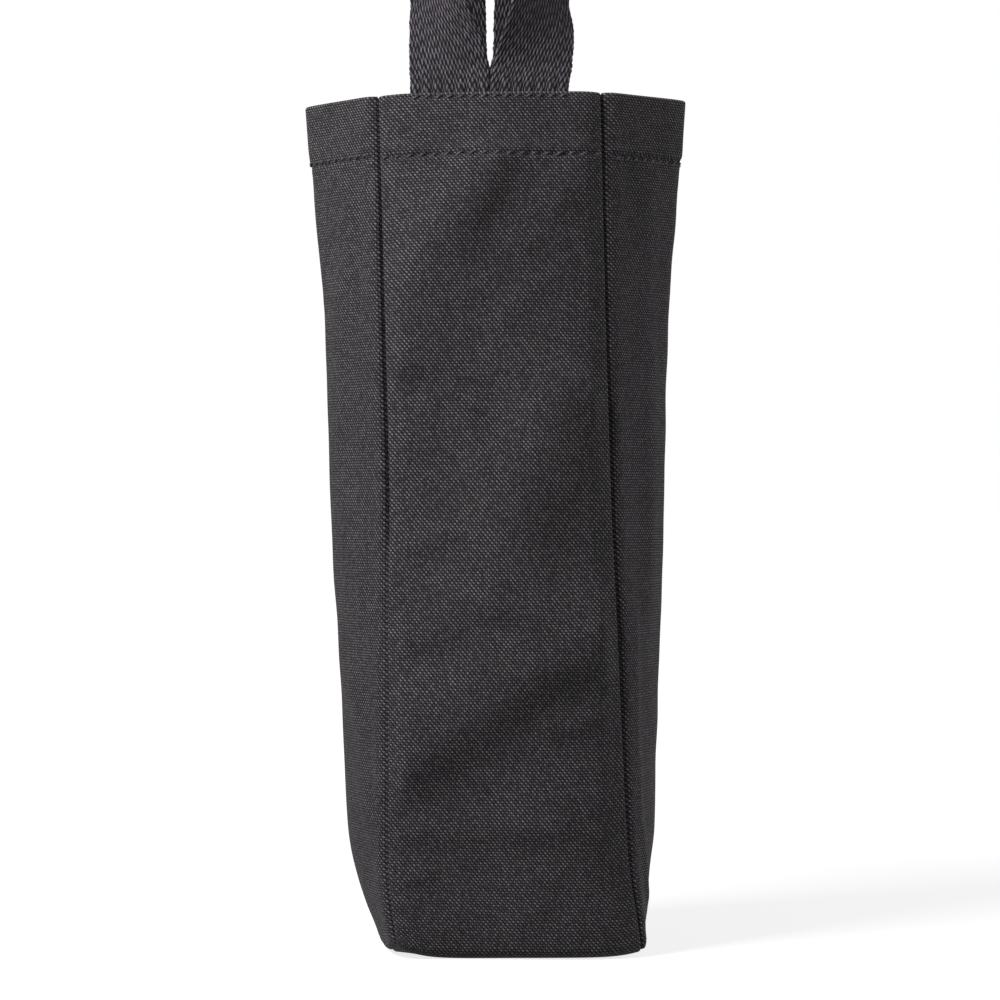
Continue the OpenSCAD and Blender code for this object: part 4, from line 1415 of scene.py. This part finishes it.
# How many rows of the strip or of a gusset lie inside the hem, and up to the end of the rim's fold
hem_rows = len(hem_z)
rim_rows = hem_rows + len(fold_turns)
print("Rows inside the hem and to the end of the rim's fold:", hem_rows, rim_rows)

# %% The hem's stitches, all round, outside and inside


def columns_at(positions, places):
    """Column numbers at positions across, from the columns' own positions."""
    return np.interp(places, positions, np.arange(len(positions)))


hem_places = (np.arange(-9, 9) + 0.5) * hem_stitch_pitch
hem_points, hem_along, hem_out = [], [], []


def add_hem_row(grid, uv, first, last):
    i = row_at(grid, stitch_z, first, last)
    laid = on_cloth(grid, i, columns_at(uv[int(i), :, 0], hem_places))
    for store, values in zip((hem_points, hem_along, hem_out), laid):
        store.append(values)


for first, last in ((rim_rows, rim_rows + 60), (0, hem_rows)):
    add_hem_row(strip_points, strip_uv, first, last)
    add_hem_row(strip_points[::-1, ::-1], strip_uv, first, last)
    for points, uv, _ in gusset_sets.values():
        add_hem_row(points, uv, first, last)
hem_stitches = stitched("hem_stitches", np.concatenate(hem_points), np.concatenate(hem_along),
                        np.concatenate(hem_out), black_thread, Stitch_Length=3.4 * MM,
                        Thread_Diameter=1.05 * MM, Rise=0.8 * MM, Slant=0.5, Unevenness=0.16, Seed=1)

# %% The stitches under the rim that hold the handles
rim_stitches = {}
for name, side in (("front", 1), ("back", -1)):
    grid = strip_points if side == 1 else strip_points[::-1, ::-1]
    i = row_at(grid, rim_h - rim_stitch_drop, rim_rows - 1, rim_rows + 10)
    places = (np.arange(-7, 7) + 0.5) * rim_stitch_pitch
    points, along, out = on_cloth(grid, i, columns_at(strip_uv[int(i), :, 0], places))
    rim_stitches[name] = stitched("rim_stitches_" + name, points, along, out, black_thread,
                                  Stitch_Length=3.2 * MM, Thread_Diameter=1.05 * MM, Rise=0.9 * MM,
                                  Seed=2, Slant=0.5, Unevenness=0.2)

# %% The seams' stitches, deep in their grooves
seam_depth = 1.5 * MM
seam_stitches = {}
for name, side in (("left", -1), ("right", 1)):
    y, z = side_profile(0.0, rim_z)
    line = set_down(np.stack([half_width(z), y, z], -1), side)
    steps = travel(line)
    at = np.arange(0.5, int(steps[-1] / seam_pitch)) * seam_pitch
    points = read_at(at, steps, line)
    along = unit(np.gradient(points, axis=0))
    out = unit(points - np.array([0, 0, rim_h / 2]))
    out = unit(out - (out * along).sum(-1, keepdims=True) * along)
    seam_stitches[name] = stitched("seam_stitches_" + name, points - out * seam_depth, along, out,
                                   black_thread, Rise=0.15 * MM, Seed=3, Slant=0.0)

# %% [markdown]
# The overlocked edge has slanting threads over the cloth and loops round the raw edge. Both
# come from the same tree, with other lengths and directions.

# %% Overlocked edges
overlocks = {}
overlock_pitch, flat_slant, loop_slant, flat_inset = 2.2 * MM, 0.45, 0.3, 1.6 * MM

for name, grid in edge_grids.items():
    edge = grid[:, -1]
    steps = travel(edge)
    at = np.arange(0.5, int(steps[-1] / overlock_pitch)) * overlock_pitch
    p = read_at(at, steps, edge)
    n = unit(read_at(at, steps, -grid_normals(grid)[:, -1]))
    b = unit(read_at(at, steps, unit(edge - grid[:, -2])))
    ahead = unit(np.gradient(p, axis=0))
    face = p + n * (allowance_t / 2) - b * flat_inset
    flat = stitched("overlock_flat", face, unit(b + flat_slant * ahead), n, black_thread,
                    Stitch_Length=4.2 * MM, Rise=0.3 * MM, Thread_Diameter=0.35 * MM, Seed=4)
    loops = stitched("overlock_loops", p, unit(n + loop_slant * ahead), b, black_thread,
                     Stitch_Length=allowance_t + 0.6 * MM, Rise=0.55 * MM,
                     Thread_Diameter=0.45 * MM, Seed=5)
    with bpy.context.temp_override(active_object=flat, selected_editable_objects=[flat, loops]):
        bpy.ops.object.join()
    flat.name = "overlock_stitches_" + name
    overlocks[name] = flat

# %% [markdown]
# Last come the riding and the names of the solids that each piece stands for. The webbing of a
# handle is one piece that turns at the rim, with its ends in the hem and its loop over the top,
# and it rides on no body: its place is baked into its mesh.

# %% Riding and replacing
for name, piece in gussets.items():
    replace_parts(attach(piece, "bag"), "gusset_" + name)
    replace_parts(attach(seam_edges[name], "bag"), "seam_edge_" + name)
    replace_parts(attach(overlocks[name], "bag"), "overlock_" + name)
    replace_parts(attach(seam_stitches[name], "bag"), "seam_thread_" + name)
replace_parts(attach(canvas_strip, "bag"), "body_strip")
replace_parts(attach(hem_stitches, "bag"), "hem_thread")
for name, piece in rim_stitches.items():
    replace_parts(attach(piece, "bag"), "rim_thread_" + name)

for name, piece in (("front", handle_front), ("back", handle_back)):
    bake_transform(piece)
    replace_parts(piece, "handle_" + name, "handle_" + name + "_ends")
